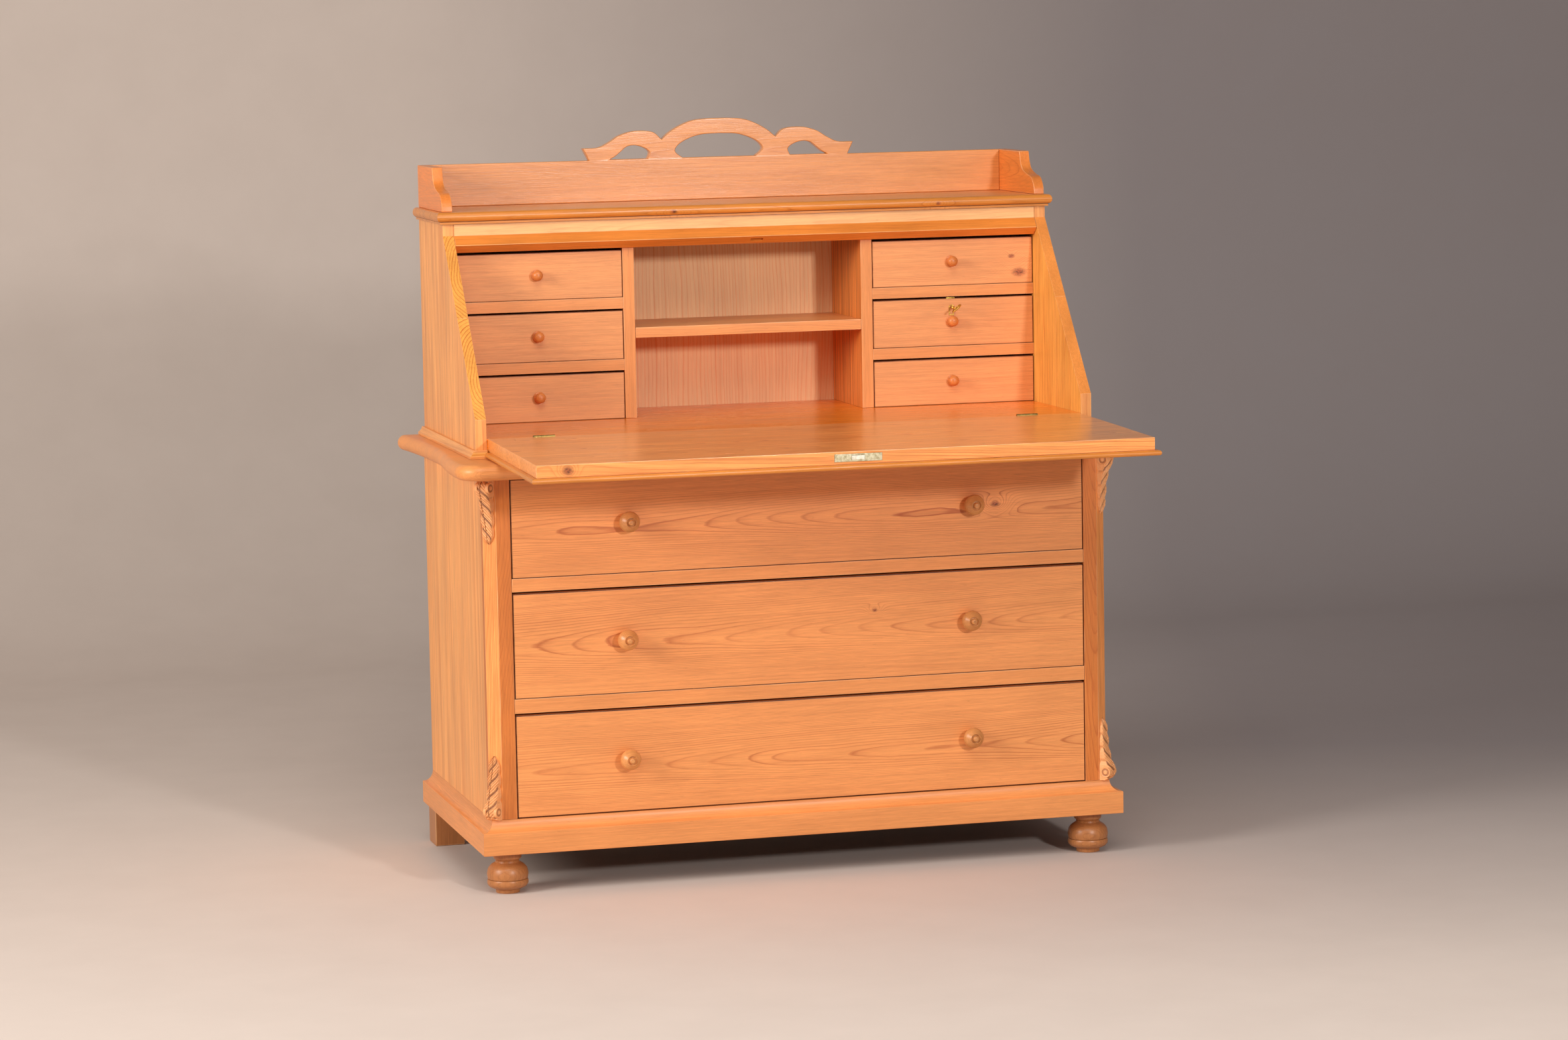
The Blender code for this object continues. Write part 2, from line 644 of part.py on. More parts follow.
def make_drawer(name, centre, low, height, half, front, sizes, material):
    """Build an open-topped drawer with its front, and return it.

    The sizes are the front's thickness, the walls, the bottom, how far the box stays
    below the front, and the box's length behind the front.
    """
    face, wall, bottom, drop, length = sizes
    box_half = half - LIFT
    box_top = low + height - drop
    box_back = front - face - length
    drawer = board(name, (centre - half, centre + half), (front - face, front),
                   (low, low + height), material)
    box = board("drawer_box", (centre - box_half, centre + box_half), (box_back, front - face / 2),
                (low, box_top))
    hollow = board("drawer_hollow", (centre - box_half + wall, centre + box_half - wall),
                   (box_back + wall, front - face), (low + bottom, box_top + OVERRUN))
    join(drawer, box)
    cut(drawer, hollow)
    set_origin(drawer, at(centre, front, low + height / 2))
    return drawer


def make_knob(name, shares, radius, length, place, material):
    """Turn a knob whose foot lies against the drawer front at a place."""
    knob = turned(name, scaled(shares, radius, length), material)
    knob.rotation_euler = (math.pi / 2, 0.0, 0.0)
    knob.location = place - Vector((0.0, TOUCH, 0.0))
    return knob


def make_long_drawers(pine, pale_pine):
    """Build the three long drawers, each with its two turned knobs."""
    sizes = (LONG_FRONT, LONG_WALL, LONG_BOTTOM, LONG_BOX_DROP, LONG_BOX_LENGTH)
    top = WAIST_BOTTOM
    rails = (*RAIL_HEIGHTS, 0.0)
    table = zip(("top", "middle", "bottom"), LONG_DRAWER_HEIGHTS, LONG_KNOB_OFFSETS,
                LONG_KNOB_RISES, rails)
    for word, height, offset, rise, rail in table:
        low = top - DRAWER_TOP_GAP - height
        make_drawer(f"long_drawer_{word}", 0.0, low, height, LONG_HALF, CARCASS_DEPTH, sizes, pine)
        for side, hand in ((-1, "left"), (1, "right")):
            place = at(side * LONG_KNOB_SPREAD + offset, CARCASS_DEPTH,
                       low + height / 2 + rise)
            make_knob(f"long_drawer_{word}_knob_{hand}", LONG_KNOB_SHARES, LONG_KNOB_RADIUS,
                      LONG_KNOB_LENGTH, place, pale_pine)
        top = low - TOUCH - rail


def waist_overhang(depth):
    """Return how far the waist board's edge stands out at a depth: it swells and narrows."""
    if depth < WAIST_NARROW_DEPTH:
        share = (1 - depth / WAIST_NARROW_DEPTH) ** 2
        return WAIST_NARROW_OVERHANG + (WAIST_BACK_OVERHANG - WAIST_NARROW_OVERHANG) * share
    way = (depth - WAIST_NARROW_DEPTH) / (WAIST_WIDE_DEPTH - WAIST_NARROW_DEPTH)
    share = (1 - math.cos(math.pi * way)) / 2
    return WAIST_NARROW_OVERHANG + (WAIST_WIDE_OVERHANG - WAIST_NARROW_OVERHANG) * share


def make_waist_board(pine):
    """Build the waist board, with its shaped ends and its rounded edge."""
    steps = 6
    depths = [WAIST_NARROW_DEPTH * step / steps for step in range(steps)]
    depths += [WAIST_NARROW_DEPTH + (WAIST_WIDE_DEPTH - WAIST_NARROW_DEPTH) * step / steps
               for step in range(steps + 1)]
    edge = [(HALF_CARCASS + waist_overhang(depth), depth) for depth in depths]
    centre = (HALF_CARCASS + WAIST_WIDE_OVERHANG - WAIST_CORNER_RADIUS,
              WAIST_FRONT - WAIST_CORNER_RADIUS)
    for step in range(steps + 1):
        angle = math.pi / 2 * step / steps
        edge.append((centre[0] + WAIST_CORNER_RADIUS * math.cos(angle),
                     centre[1] + WAIST_CORNER_RADIUS * math.sin(angle)))
    line = plan_line(edge + [(-across, depth) for across, depth in reversed(edge)])
    rings = nose_rings(WAIST_NOSE, WAIST_BOTTOM, WAIST_TOP)
    waist = edged_board("waist_board", line[::-1], rings, pine)
    notch = board("waist_notch", (-PANEL_HALF - TOUCH, PANEL_HALF + TOUCH),
                  (-OVERRUN, PANEL_FRONT + TOUCH),
                  (WAIST_BOTTOM - OVERRUN, WAIST_TOP + OVERRUN))
    cut(waist, notch)


def make_corbel(name, side, length, scroll_height, direction, material):
    """Build a scrolled corbel on a canted corner.

    The scroll lies at scroll_height, and the leaf's tip points up (1) or down (-1).
    """
    vertices = []
    for share, projection_share, width_share in CORBEL_SHARES:
        out = CORBEL_PROJECTION * projection_share
        half = CORBEL_WIDTH * width_share / 2
        edge = out * CORBEL_EDGE_SHARE
        crown = half * CORBEL_CROWN_SHARE
        height = direction * share * length
        for across, forward in ((-half, 0.0), (-half, edge), (-crown, out), (crown, out),
                                (half, edge), (half, 0.0)):
            vertices.append(Vector((across, -forward, height)))
    ring = 6
    last = len(vertices) - ring
    faces = [tuple(range(ring)), tuple(range(last, last + ring))]
    for base in range(0, last, ring):
        faces += [(base + i, base + (i + 1) % ring, base + ring + (i + 1) % ring, base + ring + i)
                  for i in range(ring)]
    corbel = add_object(name, mesh_from(name, vertices, faces), material)
    corbel.rotation_euler = (0.0, 0.0, side * math.pi / 4)
    middle = Vector((side * (HALF_CARCASS - CORNER_CANT / 2),
                     BACK_Y - CARCASS_DEPTH + CORNER_CANT / 2, scroll_height))
    away = Vector((side, -1.0, 0.0)).normalized() * TOUCH
    corbel.location = middle + away
    return corbel


def make_corbels(pine):
    """Build the four carved corbels: scroll at the top above, scroll at the foot below."""
    for side, word in ((-1, "left"), (1, "right")):
        make_corbel(f"corbel_upper_{word}", side, UPPER_CORBEL_LENGTH,
                    WAIST_BOTTOM - TOUCH, -1, pine)
        make_corbel(f"corbel_lower_{word}", side, LOWER_CORBEL_LENGTH,
                    CARCASS_BOTTOM + TOUCH, 1, pine)


def make_upper_case(pine, side_pine):
    """Build the sloped sides with their waist moulding, the writing bed and the top rail."""
    low = WAIST_TOP + TOUCH
    high = UPPER_TOP - TOUCH
    slope = section(((0.0, low), (HINGE_DEPTH, low), (HINGE_DEPTH, CORNER_TOP),
                     (UPPER_TOP_DEPTH, SLANT_TOP), (UPPER_TOP_DEPTH, high), (0.0, high)))
    profile = scaled(MOULDING_SHARES, WAIST_MOULDING_RUN, WAIST_MOULDING_HEIGHT, (0.0, low))
    profile += [(-UPPER_SIDE / 2, profile[-1][1]), (-UPPER_SIDE / 2, low)]
    for side, word in ((-1, "left"), (1, "right")):
        panel = prism(f"upper_side_{word}", slope, "X",
                      *sorted((side * UPPER_INNER, side * HALF_UPPER)), side_pine)
        line = plan_line(((side * HALF_UPPER, 0.0), (side * HALF_UPPER, HINGE_DEPTH),
                          (side * UPPER_INNER, HINGE_DEPTH)))
        strip = moulding("waist_moulding", line,
                         [(side * run, height) for run, height in profile])
        rebate = board("upper_rebate",
                       sorted((side * (UPPER_INNER - OVERRUN), side * (PANEL_HALF + TOUCH))),
                       (-OVERRUN, PANEL_FRONT + TOUCH), (low - OVERRUN, high + OVERRUN))
        join(panel, strip)
        cut(panel, rebate)
    make_bed(pine)
    make_top_rail(pine)


def make_bed(pine):
    """Build the writing bed on its two bearers, let in for the hinge leaves."""
    half = UPPER_INNER - TOUCH
    front = HINGE_DEPTH - LID_JOINT_GAP
    bed = board("writing_bed", (-half, half), (INNER_BACK, front),
                (BED_TOP - BED_THICKNESS, BED_TOP), pine)
    for depths in ((front - BED_BEARER, front), (INNER_BACK, INNER_BACK + BED_BEARER)):
        bearer = board("bed_bearer", (-half, half), depths,
                       (WAIST_TOP + TOUCH, BED_TOP - BED_THICKNESS / 2))
        join(bed, bearer)
    for side in (-1, 1):
        cut(bed, *hinge_recess(side * HINGE_SPREAD, 1, None))


def make_top_rail(pine):
    """Build the rail at the top of the slope, stepped and mortised for the fall front."""
    high = UPPER_TOP - TOUCH
    landing = (UPPER_TOP_DEPTH + LANDING_WIDTH * math.cos(SLOPE),
               SLANT_TOP - LANDING_WIDTH * math.sin(SLOPE))
    step = (landing[0] - SEAT_LEVEL * math.sin(SLOPE), landing[1] - SEAT_LEVEL * math.cos(SLOPE))
    back = UPPER_TOP_DEPTH - TOP_RAIL_THICKNESS
    outline = section(((UPPER_TOP_DEPTH, high), (UPPER_TOP_DEPTH, SLANT_TOP), landing, step,
                       (back, step[1]), (back, high)))
    rail = prism("top_rail", outline, "X", -UPPER_INNER + TOUCH, UPPER_INNER - TOUCH, pine)
    strike = block(
        "strike_mortise",
        (LOCK_CENTRE - LOCK_BOLT_LENGTH / 2 - LIFT, -STEP_REACH - STRIKE_DEPTH,
         -LID_BODY / 2 - LOCK_BOLT_THICKNESS / 2 - LIFT),
        (LOCK_CENTRE + LOCK_BOLT_LENGTH / 2 + LIFT, -STEP_REACH + OVERRUN,
         -LID_BODY / 2 + LOCK_BOLT_THICKNESS / 2 + LIFT))
    strike.location = at(0.0, HINGE_DEPTH, BED_TOP)
    strike.rotation_euler = (CLOSING_TURN, 0.0, 0.0)
    cut(rail, strike)


def hinge_recess(centre, direction, parent):
    """Return the cutters that let a hinge leaf and its barrel into the joint's face.

    The direction is 1 for the bed, behind the joint, and -1 for the fall front. The
    cutters are in the joint's own frame, whose origin lies on the hinge line.
    """
    low = centre - HINGE_LENGTH / 2 - TOUCH
    high = centre + HINGE_LENGTH / 2 + TOUCH
    far = direction * (LID_JOINT_GAP + LEAF_THICKNESS + TOUCH)
    near = -direction * OVERRUN
    leaf = block("leaf_recess", (low, min(near, far), -LEAF_DROP - TOUCH),
                 (high, max(near, far), OVERRUN), None, parent)
    radius = BARREL_RADIUS + BARREL_CLEARANCE
    barrel = knuckle("barrel_recess", low - OVERRUN, high + OVERRUN, radius)
    barrel.parent = parent
    if parent is None:
        leaf.location = at(0.0, HINGE_DEPTH, BED_TOP)
        barrel.location = at(0.0, HINGE_DEPTH, BED_TOP)
    return leaf, barrel


def knuckle(name, low, high, radius, steps=16):
    """Turn a plain rod along X on the hinge line."""
    rod = turned(name, ((radius, low), (radius, high)), steps=steps)
    rod.rotation_euler = (0.0, math.pi / 2, 0.0)
    return rod


def make_hinge(word, centre, pivot, brass):
    """Build one butt hinge: the bed's leaf with its pin, and the fall front's leaf."""
    third = HINGE_LENGTH / 3
    low = centre - HINGE_LENGTH / 2
    high = low + HINGE_LENGTH
    first, second = low + third, low + 2 * third
    near = -BARREL_RADIUS - BARREL_CLEARANCE
    start = at(0.0, HINGE_DEPTH, BED_TOP)
    outline = ((low, -LEAF_DROP), (low, near), (first + 2 * TOUCH, near),
               (first + 2 * TOUCH, 0.0), (second - 2 * TOUCH, 0.0), (second - 2 * TOUCH, near),
               (high, near), (high, -LEAF_DROP))
    bed_leaf = prism(f"hinge_{word}_bed_leaf", outline, "Y", LID_JOINT_GAP,
                     LID_JOINT_GAP + LEAF_THICKNESS, brass)
    barrel = knuckle("bed_knuckle", first + TOUCH, second - TOUCH, BARREL_RADIUS)
    pin = knuckle("hinge_pin", low + TOUCH, high - TOUCH, PIN_RADIUS, 12)
    for tool in (barrel, pin):
        tool.location = start
        join(bed_leaf, tool)
    bed_leaf.location = start

    outline = ((low, -LEAF_DROP), (low, near), (low + TOUCH, near), (low + TOUCH, 0.0),
               (first - TOUCH, 0.0), (first - TOUCH, near), (second + TOUCH, near),
               (second + TOUCH, 0.0), (high - TOUCH, 0.0), (high - TOUCH, near), (high, near),
               (high, -LEAF_DROP))
    lid_leaf = prism(f"hinge_{word}_lid_leaf", outline, "Y", -LID_JOINT_GAP - LEAF_THICKNESS,
                     -LID_JOINT_GAP, brass, pivot)
    for left, right in ((low, first), (second, high)):
        loop = knuckle("lid_knuckle", left, right, BARREL_RADIUS)
        loop.parent = pivot
        join(lid_leaf, loop)
    bore = knuckle("pin_bore", low - OVERRUN, high + OVERRUN, PIN_RADIUS + TOUCH, 12)
    bore.parent = pivot
    cut(lid_leaf, bore)


def make_fall_front(pine, brass, nickel):
    """Build the fall front with its lip, hinges and lock, about a pivot on the hinge line."""
    pivot = bpy.data.objects.new("fall_front_pivot", None)
    bpy.context.scene.collection.objects.link(pivot)
    pivot.location = at(0.0, HINGE_DEPTH, BED_TOP)
    pivot.rotation_euler = (LID_DROOP, 0.0, 0.0)

    lid = block("fall_front", (-LID_HALF, -LID_LENGTH, -LID_THICKNESS),
                (LID_HALF, -LID_JOINT_GAP, 0.0), pine, pivot)
    lip = block("lid_lip", (-LID_HALF - LIP_OVERHANG, -LID_LENGTH - LIP_OVERHANG, -LID_THICKNESS),
                (LID_HALF + LIP_OVERHANG, -LIP_START, -LID_BODY), None, pivot)
    ease_edges(lip, LIP_EASE, 1)
    join(lid, lip)
    for side, word in ((-1, "left"), (1, "right")):
        cut(lid, *hinge_recess(side * HINGE_SPREAD, -1, pivot))
        make_hinge(word, side * HINGE_SPREAD, pivot, brass)
    make_lid_lock(lid, pivot, nickel)


def make_lid_lock(lid, pivot, nickel):
    """Build the lock in the front edge of the fall front, and its sliding bolt."""
    middle = -LID_BODY / 2
    edge = -LID_LENGTH

    def centred(name, length, width, near, far, parent_material=None):
        """Make a block centred on the lock, between two distances from the hinge."""
        return block(name, (LOCK_CENTRE - length / 2, far, middle - width / 2),
                     (LOCK_CENTRE + length / 2, near, middle + width / 2), parent_material, pivot)

    plate_back = edge + LOCK_PLATE
    case_back = edge + LOCK_CASE_DEPTH
    lock = centred("lid_lock", LOCK_PLATE_LENGTH, LOCK_PLATE_WIDTH, plate_back, edge, nickel)
    case = centred("lock_case", LOCK_CASE_LENGTH, LOCK_CASE_WIDTH, case_back,
                   edge + LOCK_PLATE / 2)
    join(lock, case)
    slot = centred("bolt_slot", LOCK_BOLT_LENGTH + 2 * TOUCH, LOCK_BOLT_THICKNESS + 2 * TOUCH,
                   edge + LOCK_BOLT_REACH + LIFT, edge - OVERRUN)
    cut(lock, slot)
    plate_bed = centred("plate_bed", LOCK_PLATE_LENGTH + 2 * TOUCH, LOCK_PLATE_WIDTH + 2 * TOUCH,
                        plate_back + TOUCH, edge - OVERRUN)
    case_bed = centred("case_bed", LOCK_CASE_LENGTH + 2 * TOUCH, LOCK_CASE_WIDTH + 2 * TOUCH,
                       case_back + TOUCH, edge - OVERRUN)
    cut(lid, plate_bed, case_bed)
    bolt = centred("lid_lock_bolt", LOCK_BOLT_LENGTH, LOCK_BOLT_THICKNESS,
                   edge + LOCK_BOLT_REACH, edge, nickel)
    set_origin(bolt, Vector((LOCK_CENTRE, edge, middle)))


def make_top(pine):
    """Build the top board and the gallery: two brackets and the pierced back."""
    low = UPPER_TOP
    line = plan_line(((HALF_UPPER + TOP_BOARD_OVERHANG, 0.0),
                      (HALF_UPPER + TOP_BOARD_OVERHANG, UPPER_TOP_DEPTH + TOP_BOARD_OVERHANG),
                      (-HALF_UPPER - TOP_BOARD_OVERHANG, UPPER_TOP_DEPTH + TOP_BOARD_OVERHANG),
                      (-HALF_UPPER - TOP_BOARD_OVERHANG, 0.0)))
    rings = [(TOP_BOARD_FILLET_INSET, low), (TOP_BOARD_FILLET_INSET, low + TOP_BOARD_FILLET)]
    rings += nose_rings(TOP_BOARD_NOSE, low + TOP_BOARD_FILLET, TOP_BOARD_TOP)[1:]
    edged_board("top_board", line[::-1], rings, pine)

    seat = TOP_BOARD_TOP + TOUCH
    height = GALLERY_TOP - seat
    curve = smooth_line(scaled(BRACKET_SHARES, BRACKET_DEPTH, height, (0.0, seat)))
    outline = section([(0.0, seat), (0.0, GALLERY_TOP), *curve])
    for side, word in ((-1, "left"), (1, "right")):
        prism(f"gallery_bracket_{word}", outline, "X",
              *sorted((side * BRACKET_INNER, side * HALF_UPPER)), pine)
    make_gallery_back(seat, pine)


def make_gallery_back(seat, pine):
    """Build the back of the gallery, with its crest and the three piercings."""
    half = BRACKET_INNER - TOUCH
    crest = []
    for stretch in CREST_OUTER_SHARES:
        curve = smooth_line(scaled(stretch, CREST_HALF_WIDTH, CREST_HEIGHT, (0.0, GALLERY_TOP)))
        crest += curve if not crest else curve[1:]
    outline = [(-half, seat), (half, seat), (half, GALLERY_TOP)]
    outline += list(reversed(mirrored(crest)))
    outline += [(-half, GALLERY_TOP)]
    rear = BACK_Y - GALLERY_THICKNESS
    back = prism("gallery_back", outline, "Y", rear, BACK_Y, pine)
    arch = smooth_line(scaled(CREST_ARCH_SHARES, CREST_HALF_WIDTH, CREST_HEIGHT,
                              (0.0, GALLERY_TOP)))
    holes = [mirrored(arch)]
    side_hole = smooth_line(scaled(CREST_SIDE_HOLE_SHARES, CREST_HALF_WIDTH, CREST_HEIGHT,
                                   (0.0, GALLERY_TOP)))
    holes += [side_hole, [(-across, height) for across, height in side_hole]]
    for hole in holes:
        cut(back, prism("crest_hole", hole, "Y", rear - OVERRUN, BACK_Y + OVERRUN))


def small_drawer_levels():
    """Return the lower height of each small drawer, from the bottom one up."""
    levels = []
    level = BED_TOP
    for height in SMALL_DRAWER_HEIGHTS:
        levels.append(level + TOUCH)
        level += TOUCH + height + SMALL_DRAWER_TOP_GAP + NEST_SHELF
    return levels


def make_nests(pine, side_pine):
    """Build the two drawer nests and the shelf of the pigeonhole between them."""
    levels = small_drawer_levels()
    shelves = [level + height + SMALL_DRAWER_TOP_GAP
               for level, height in zip(levels, SMALL_DRAWER_HEIGHTS)]
    thicknesses = (NEST_SHELF, NEST_SHELF, NEST_TOP_BOARD)
    reach = UPPER_INNER - TOUCH
    low = BED_TOP + TOUCH
    top = shelves[-1] + NEST_TOP_BOARD
    for side, word in ((-1, "left"), (1, "right")):
        comb = [(PARTITION_INNER, low), (PARTITION_OUTER, low)]
        for shelf, thickness in zip(shelves, thicknesses):
            comb += [(PARTITION_OUTER, shelf), (reach, shelf), (reach, shelf + thickness)]
            if shelf != shelves[-1]:
                comb.append((PARTITION_OUTER, shelf + thickness))
        comb.append((PARTITION_INNER, top))
        outline = [(side * across, height) for across, height in comb]
        nest = prism(f"drawer_nest_{word}", outline, "Y", BACK_Y - NEST_DEPTH,
                     BACK_Y - INNER_BACK, side_pine)
        rail_back = UPPER_TOP_DEPTH - TOP_RAIL_THICKNESS - TOUCH
        corner = board("rail_clearance", (-HALF_UPPER, HALF_UPPER),
                       (rail_back, NEST_DEPTH + OVERRUN), (shelves[-1], top + OVERRUN))
        cut(nest, corner)
        if side == 1:
            centre = SMALL_CENTRE + SMALL_KNOB_OFFSET
            half = SMALL_BOLT_LENGTH / 2 + LIFT
            middle = NEST_DEPTH - SMALL_FRONT / 2
            deep = SMALL_BOLT_THICKNESS / 2 + LIFT
            mortise = board("bolt_mortise", (centre - half, centre + half),
                            (middle - deep, middle + deep),
                            (shelves[1] - OVERRUN, shelves[1] + SMALL_BOLT_TRAVEL))
            cut(nest, mortise)
    shelf_low = BED_TOP + PIGEONHOLE_SHELF_RISE
    board("pigeonhole_shelf", (-PARTITION_INNER + TOUCH, PARTITION_INNER - TOUCH),
          (INNER_BACK, NEST_DEPTH - SHELF_SETBACK), (shelf_low, shelf_low + PIGEONHOLE_SHELF), pine)


def make_small_drawers(pine, knob_pine, brass):
    """Build the six small drawers with their knobs, and the lock of the keyed one."""
    sizes = (SMALL_FRONT, SMALL_WALL, SMALL_BOTTOM, SMALL_BOX_DROP, SMALL_BOX_LENGTH)
    levels = small_drawer_levels()
    front = NEST_DEPTH
    for side, word in ((-1, "left"), (1, "right")):
        for row, low, height in zip(SMALL_ROWS, levels, SMALL_DRAWER_HEIGHTS):
            name = f"small_drawer_{word}_{row}"
            drawer = make_drawer(name, side * SMALL_CENTRE, low, height, SMALL_HALF, front,
                                 sizes, pine)
            place = at(side * SMALL_CENTRE + SMALL_KNOB_OFFSET, front,
                       low + height / 2 + SMALL_KNOB_RISE)
            make_knob(f"{name}_knob", SMALL_KNOB_SHARES, SMALL_KNOB_RADIUS, SMALL_KNOB_LENGTH,
                      place, knob_pine)
            if (side, row) == (1, "middle"):
                make_drawer_lock(drawer, place, low + height, brass)


def make_drawer_lock(drawer, knob_place, top, brass):
    """Build the key, the escutcheon and the bolt of the locked small drawer."""
    keyhole = knob_place + Vector((0.0, 0.0, KEYHOLE_RISE))
    face_y = keyhole.y
    middle_y = face_y + SMALL_FRONT / 2
    centre = keyhole.x

    def bolt_block(name, slack, low, high, material=None):
        """Make the bolt, or its slot when there is slack round it."""
        half = SMALL_BOLT_LENGTH / 2 + slack
        deep = SMALL_BOLT_THICKNESS / 2 + slack
        return block(name, (centre - half, middle_y - deep, low),
                     (centre + half, middle_y + deep, high), material)

    bolt = bolt_block("drawer_lock_bolt", 0.0, top - SMALL_BOLT_HEIGHT, top - TOUCH, brass)
    set_origin(bolt, Vector((centre, middle_y, top - TOUCH)))
    slot = bolt_block("bolt_pocket", TOUCH, top - SMALL_BOLT_HEIGHT - TOUCH, top + OVERRUN)
    bore = turned("keyhole_bore", ((KEYHOLE_RADIUS, -OVERRUN), (KEYHOLE_RADIUS, SMALL_FRONT / 2)),
                  steps=16)
    bore.rotation_euler = (-math.pi / 2, 0.0, 0.0)
    bore.location = keyhole
    cut(drawer, slot, bore)
    make_escutcheon(keyhole, brass)
    make_key(keyhole, brass)


def keyhole_outline(radius, foot, drop, steps=12):
    """Return an escutcheon's outline: a round head over a foot with nearly straight sides."""
    head = []
    for step in range(steps + 1):
        angle = math.pi * step / steps
        head.append((radius * math.cos(angle), radius * math.sin(angle)))
    return [*head, (-foot, -drop), (foot, -drop)]


def make_escutcheon(keyhole, brass):
    """Build the thin keyhole rim on the face of the keyed drawer."""
    outer = keyhole_outline(ESCUTCHEON_RADIUS, ESCUTCHEON_FOOT, ESCUTCHEON_DROP)
    inner = keyhole_outline(ESCUTCHEON_RADIUS - ESCUTCHEON_RIM, ESCUTCHEON_FOOT - ESCUTCHEON_RIM,
                            ESCUTCHEON_DROP - ESCUTCHEON_RIM)
    rim = prism("drawer_escutcheon", outer, "Y", -TOUCH - ESCUTCHEON, -TOUCH, brass)
    hole = prism("escutcheon_hole", inner, "Y", -TOUCH - ESCUTCHEON - OVERRUN, -TOUCH + OVERRUN)
    rim.location = keyhole
    hole.location = keyhole
    cut(rim, hole)


def make_key(keyhole, brass):
    """Build the key: shank, collar and oval bow, about its own axis."""
    collar = KEY_SHANK_LENGTH * KEY_COLLAR_SHARE
    slope = KEY_COLLAR_RADIUS - KEY_SHANK_RADIUS
    key = turned("drawer_key", (
        (KEY_SHANK_RADIUS, -KEY_SHANK_BURIED), (KEY_SHANK_RADIUS, collar),
        (KEY_COLLAR_RADIUS, collar + slope), (KEY_COLLAR_RADIUS, collar + KEY_COLLAR_LENGTH),
        (KEY_SHANK_RADIUS, collar + KEY_COLLAR_LENGTH + slope),
        (KEY_SHANK_RADIUS, KEY_SHANK_LENGTH)), brass, 12)
    bpy.ops.mesh.primitive_torus_add(major_segments=20, minor_segments=8,
                                     major_radius=KEY_BOW_RADIUS, minor_radius=KEY_BOW_WIRE)
    bow = bpy.context.object
    bow.name = "key_bow"
    upright = Matrix.Rotation(math.pi / 2, 4, "X")
    oval = Matrix.Diagonal((1.0, 1.0, KEY_BOW_SHARE, 1.0))
    lift = Matrix.Translation((0.0, 0.0, KEY_SHANK_LENGTH + KEY_BOW_RADIUS * KEY_BOW_SHARE))
    bow.data.transform(lift @ oval @ upright)
    turn = (Matrix.Rotation(KEY_TURN, 3, "Y") @ Matrix.Rotation(math.pi / 2, 3, "X")
            @ Matrix.Rotation(math.pi / 2, 3, "Z"))
    for piece in (key, bow):
        piece.rotation_euler = turn.to_euler()
        piece.location = keyhole
    join(key, bow)


def main():
    """Build the whole desk."""
    clear_scene()
    pine = make_material("waxed_pine", (0.72, 0.33, 0.12), 0.38, 0.0)
    side_pine = make_material("straight_grained_pine", (0.76, 0.40, 0.17), 0.42, 0.0)
    pale_pine = make_material("pale_turned_pine", (0.60, 0.31, 0.12), 0.40, 0.0)
    knob_pine = make_material("red_turned_pine", (0.58, 0.22, 0.07), 0.35, 0.0)
    carved_pine = make_material("carved_pine", (0.55, 0.27, 0.13), 0.55, 0.0)
    brass = make_material("aged_brass", (0.66, 0.52, 0.24), 0.35, 1.0)
    nickel = make_material("pale_lock_metal", (0.72, 0.68, 0.56), 0.30, 1.0)
    make_plinth(pine)
    make_feet(pale_pine, pine)
    make_carcass(pine, side_pine)
    make_long_drawers(pine, pale_pine)
    make_waist_board(pine)
    make_corbels(carved_pine)
    make_upper_case(pine, side_pine)
    make_fall_front(pine, brass, nickel)
    make_top(pine)
    make_nests(pine, side_pine)
    make_small_drawers(pine, knob_pine, brass)


main()
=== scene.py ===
"""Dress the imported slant-front desk: its boards, turnings, carving, brass and studio.

Every wooden piece is rebuilt as separate boards with eased edges, and each board carries
its own run of grain, so that growth rings pass through its faces, edges and ends alike.
"""

import logging
import math
import random
from dataclasses import dataclass, field
from enum import Enum
from typing import Iterable, Optional, Sequence, Union

import bmesh
import bpy
from mathutils import Matrix, Vector


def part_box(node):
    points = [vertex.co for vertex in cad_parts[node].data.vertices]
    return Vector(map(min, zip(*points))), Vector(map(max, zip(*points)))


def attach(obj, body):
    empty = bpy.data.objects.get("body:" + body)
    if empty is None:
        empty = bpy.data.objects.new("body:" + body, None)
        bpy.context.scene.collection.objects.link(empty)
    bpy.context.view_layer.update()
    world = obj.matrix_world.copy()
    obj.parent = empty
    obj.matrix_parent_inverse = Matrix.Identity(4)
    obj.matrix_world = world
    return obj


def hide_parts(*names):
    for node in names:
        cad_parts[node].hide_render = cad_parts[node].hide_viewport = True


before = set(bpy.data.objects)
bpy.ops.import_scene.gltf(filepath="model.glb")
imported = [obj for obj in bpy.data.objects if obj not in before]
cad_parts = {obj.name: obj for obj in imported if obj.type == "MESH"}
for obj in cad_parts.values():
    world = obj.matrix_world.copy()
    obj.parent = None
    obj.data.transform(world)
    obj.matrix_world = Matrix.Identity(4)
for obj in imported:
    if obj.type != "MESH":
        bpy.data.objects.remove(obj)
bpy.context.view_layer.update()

LOG = logging.getLogger("desk")
SIDES = ((-1, "left"), (1, "right"))
TOUCH = 0.0003
HAIR = 0.0001
HALF_HAIR = 0.00005
BACK_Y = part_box("back_panel")[1].y + 0.005
CASE_HALF = 0.557
CASE_DEPTH = 0.541
SIDE_THICKNESS = 0.0195
CASE_INNER = CASE_HALF - SIDE_THICKNESS
CANT = 0.0195
UPPER_HALF = 0.5545
UPPER_INNER = UPPER_HALF - SIDE_THICKNESS
TONGUE = 0.0100
QUARTER = math.pi / 2
TURNED_SLOT = "pale_turned_pine"
DOWN = Vector((0.0, 0.0, -1.0))
FORWARD = Vector((0.0, -1.0, 0.0))

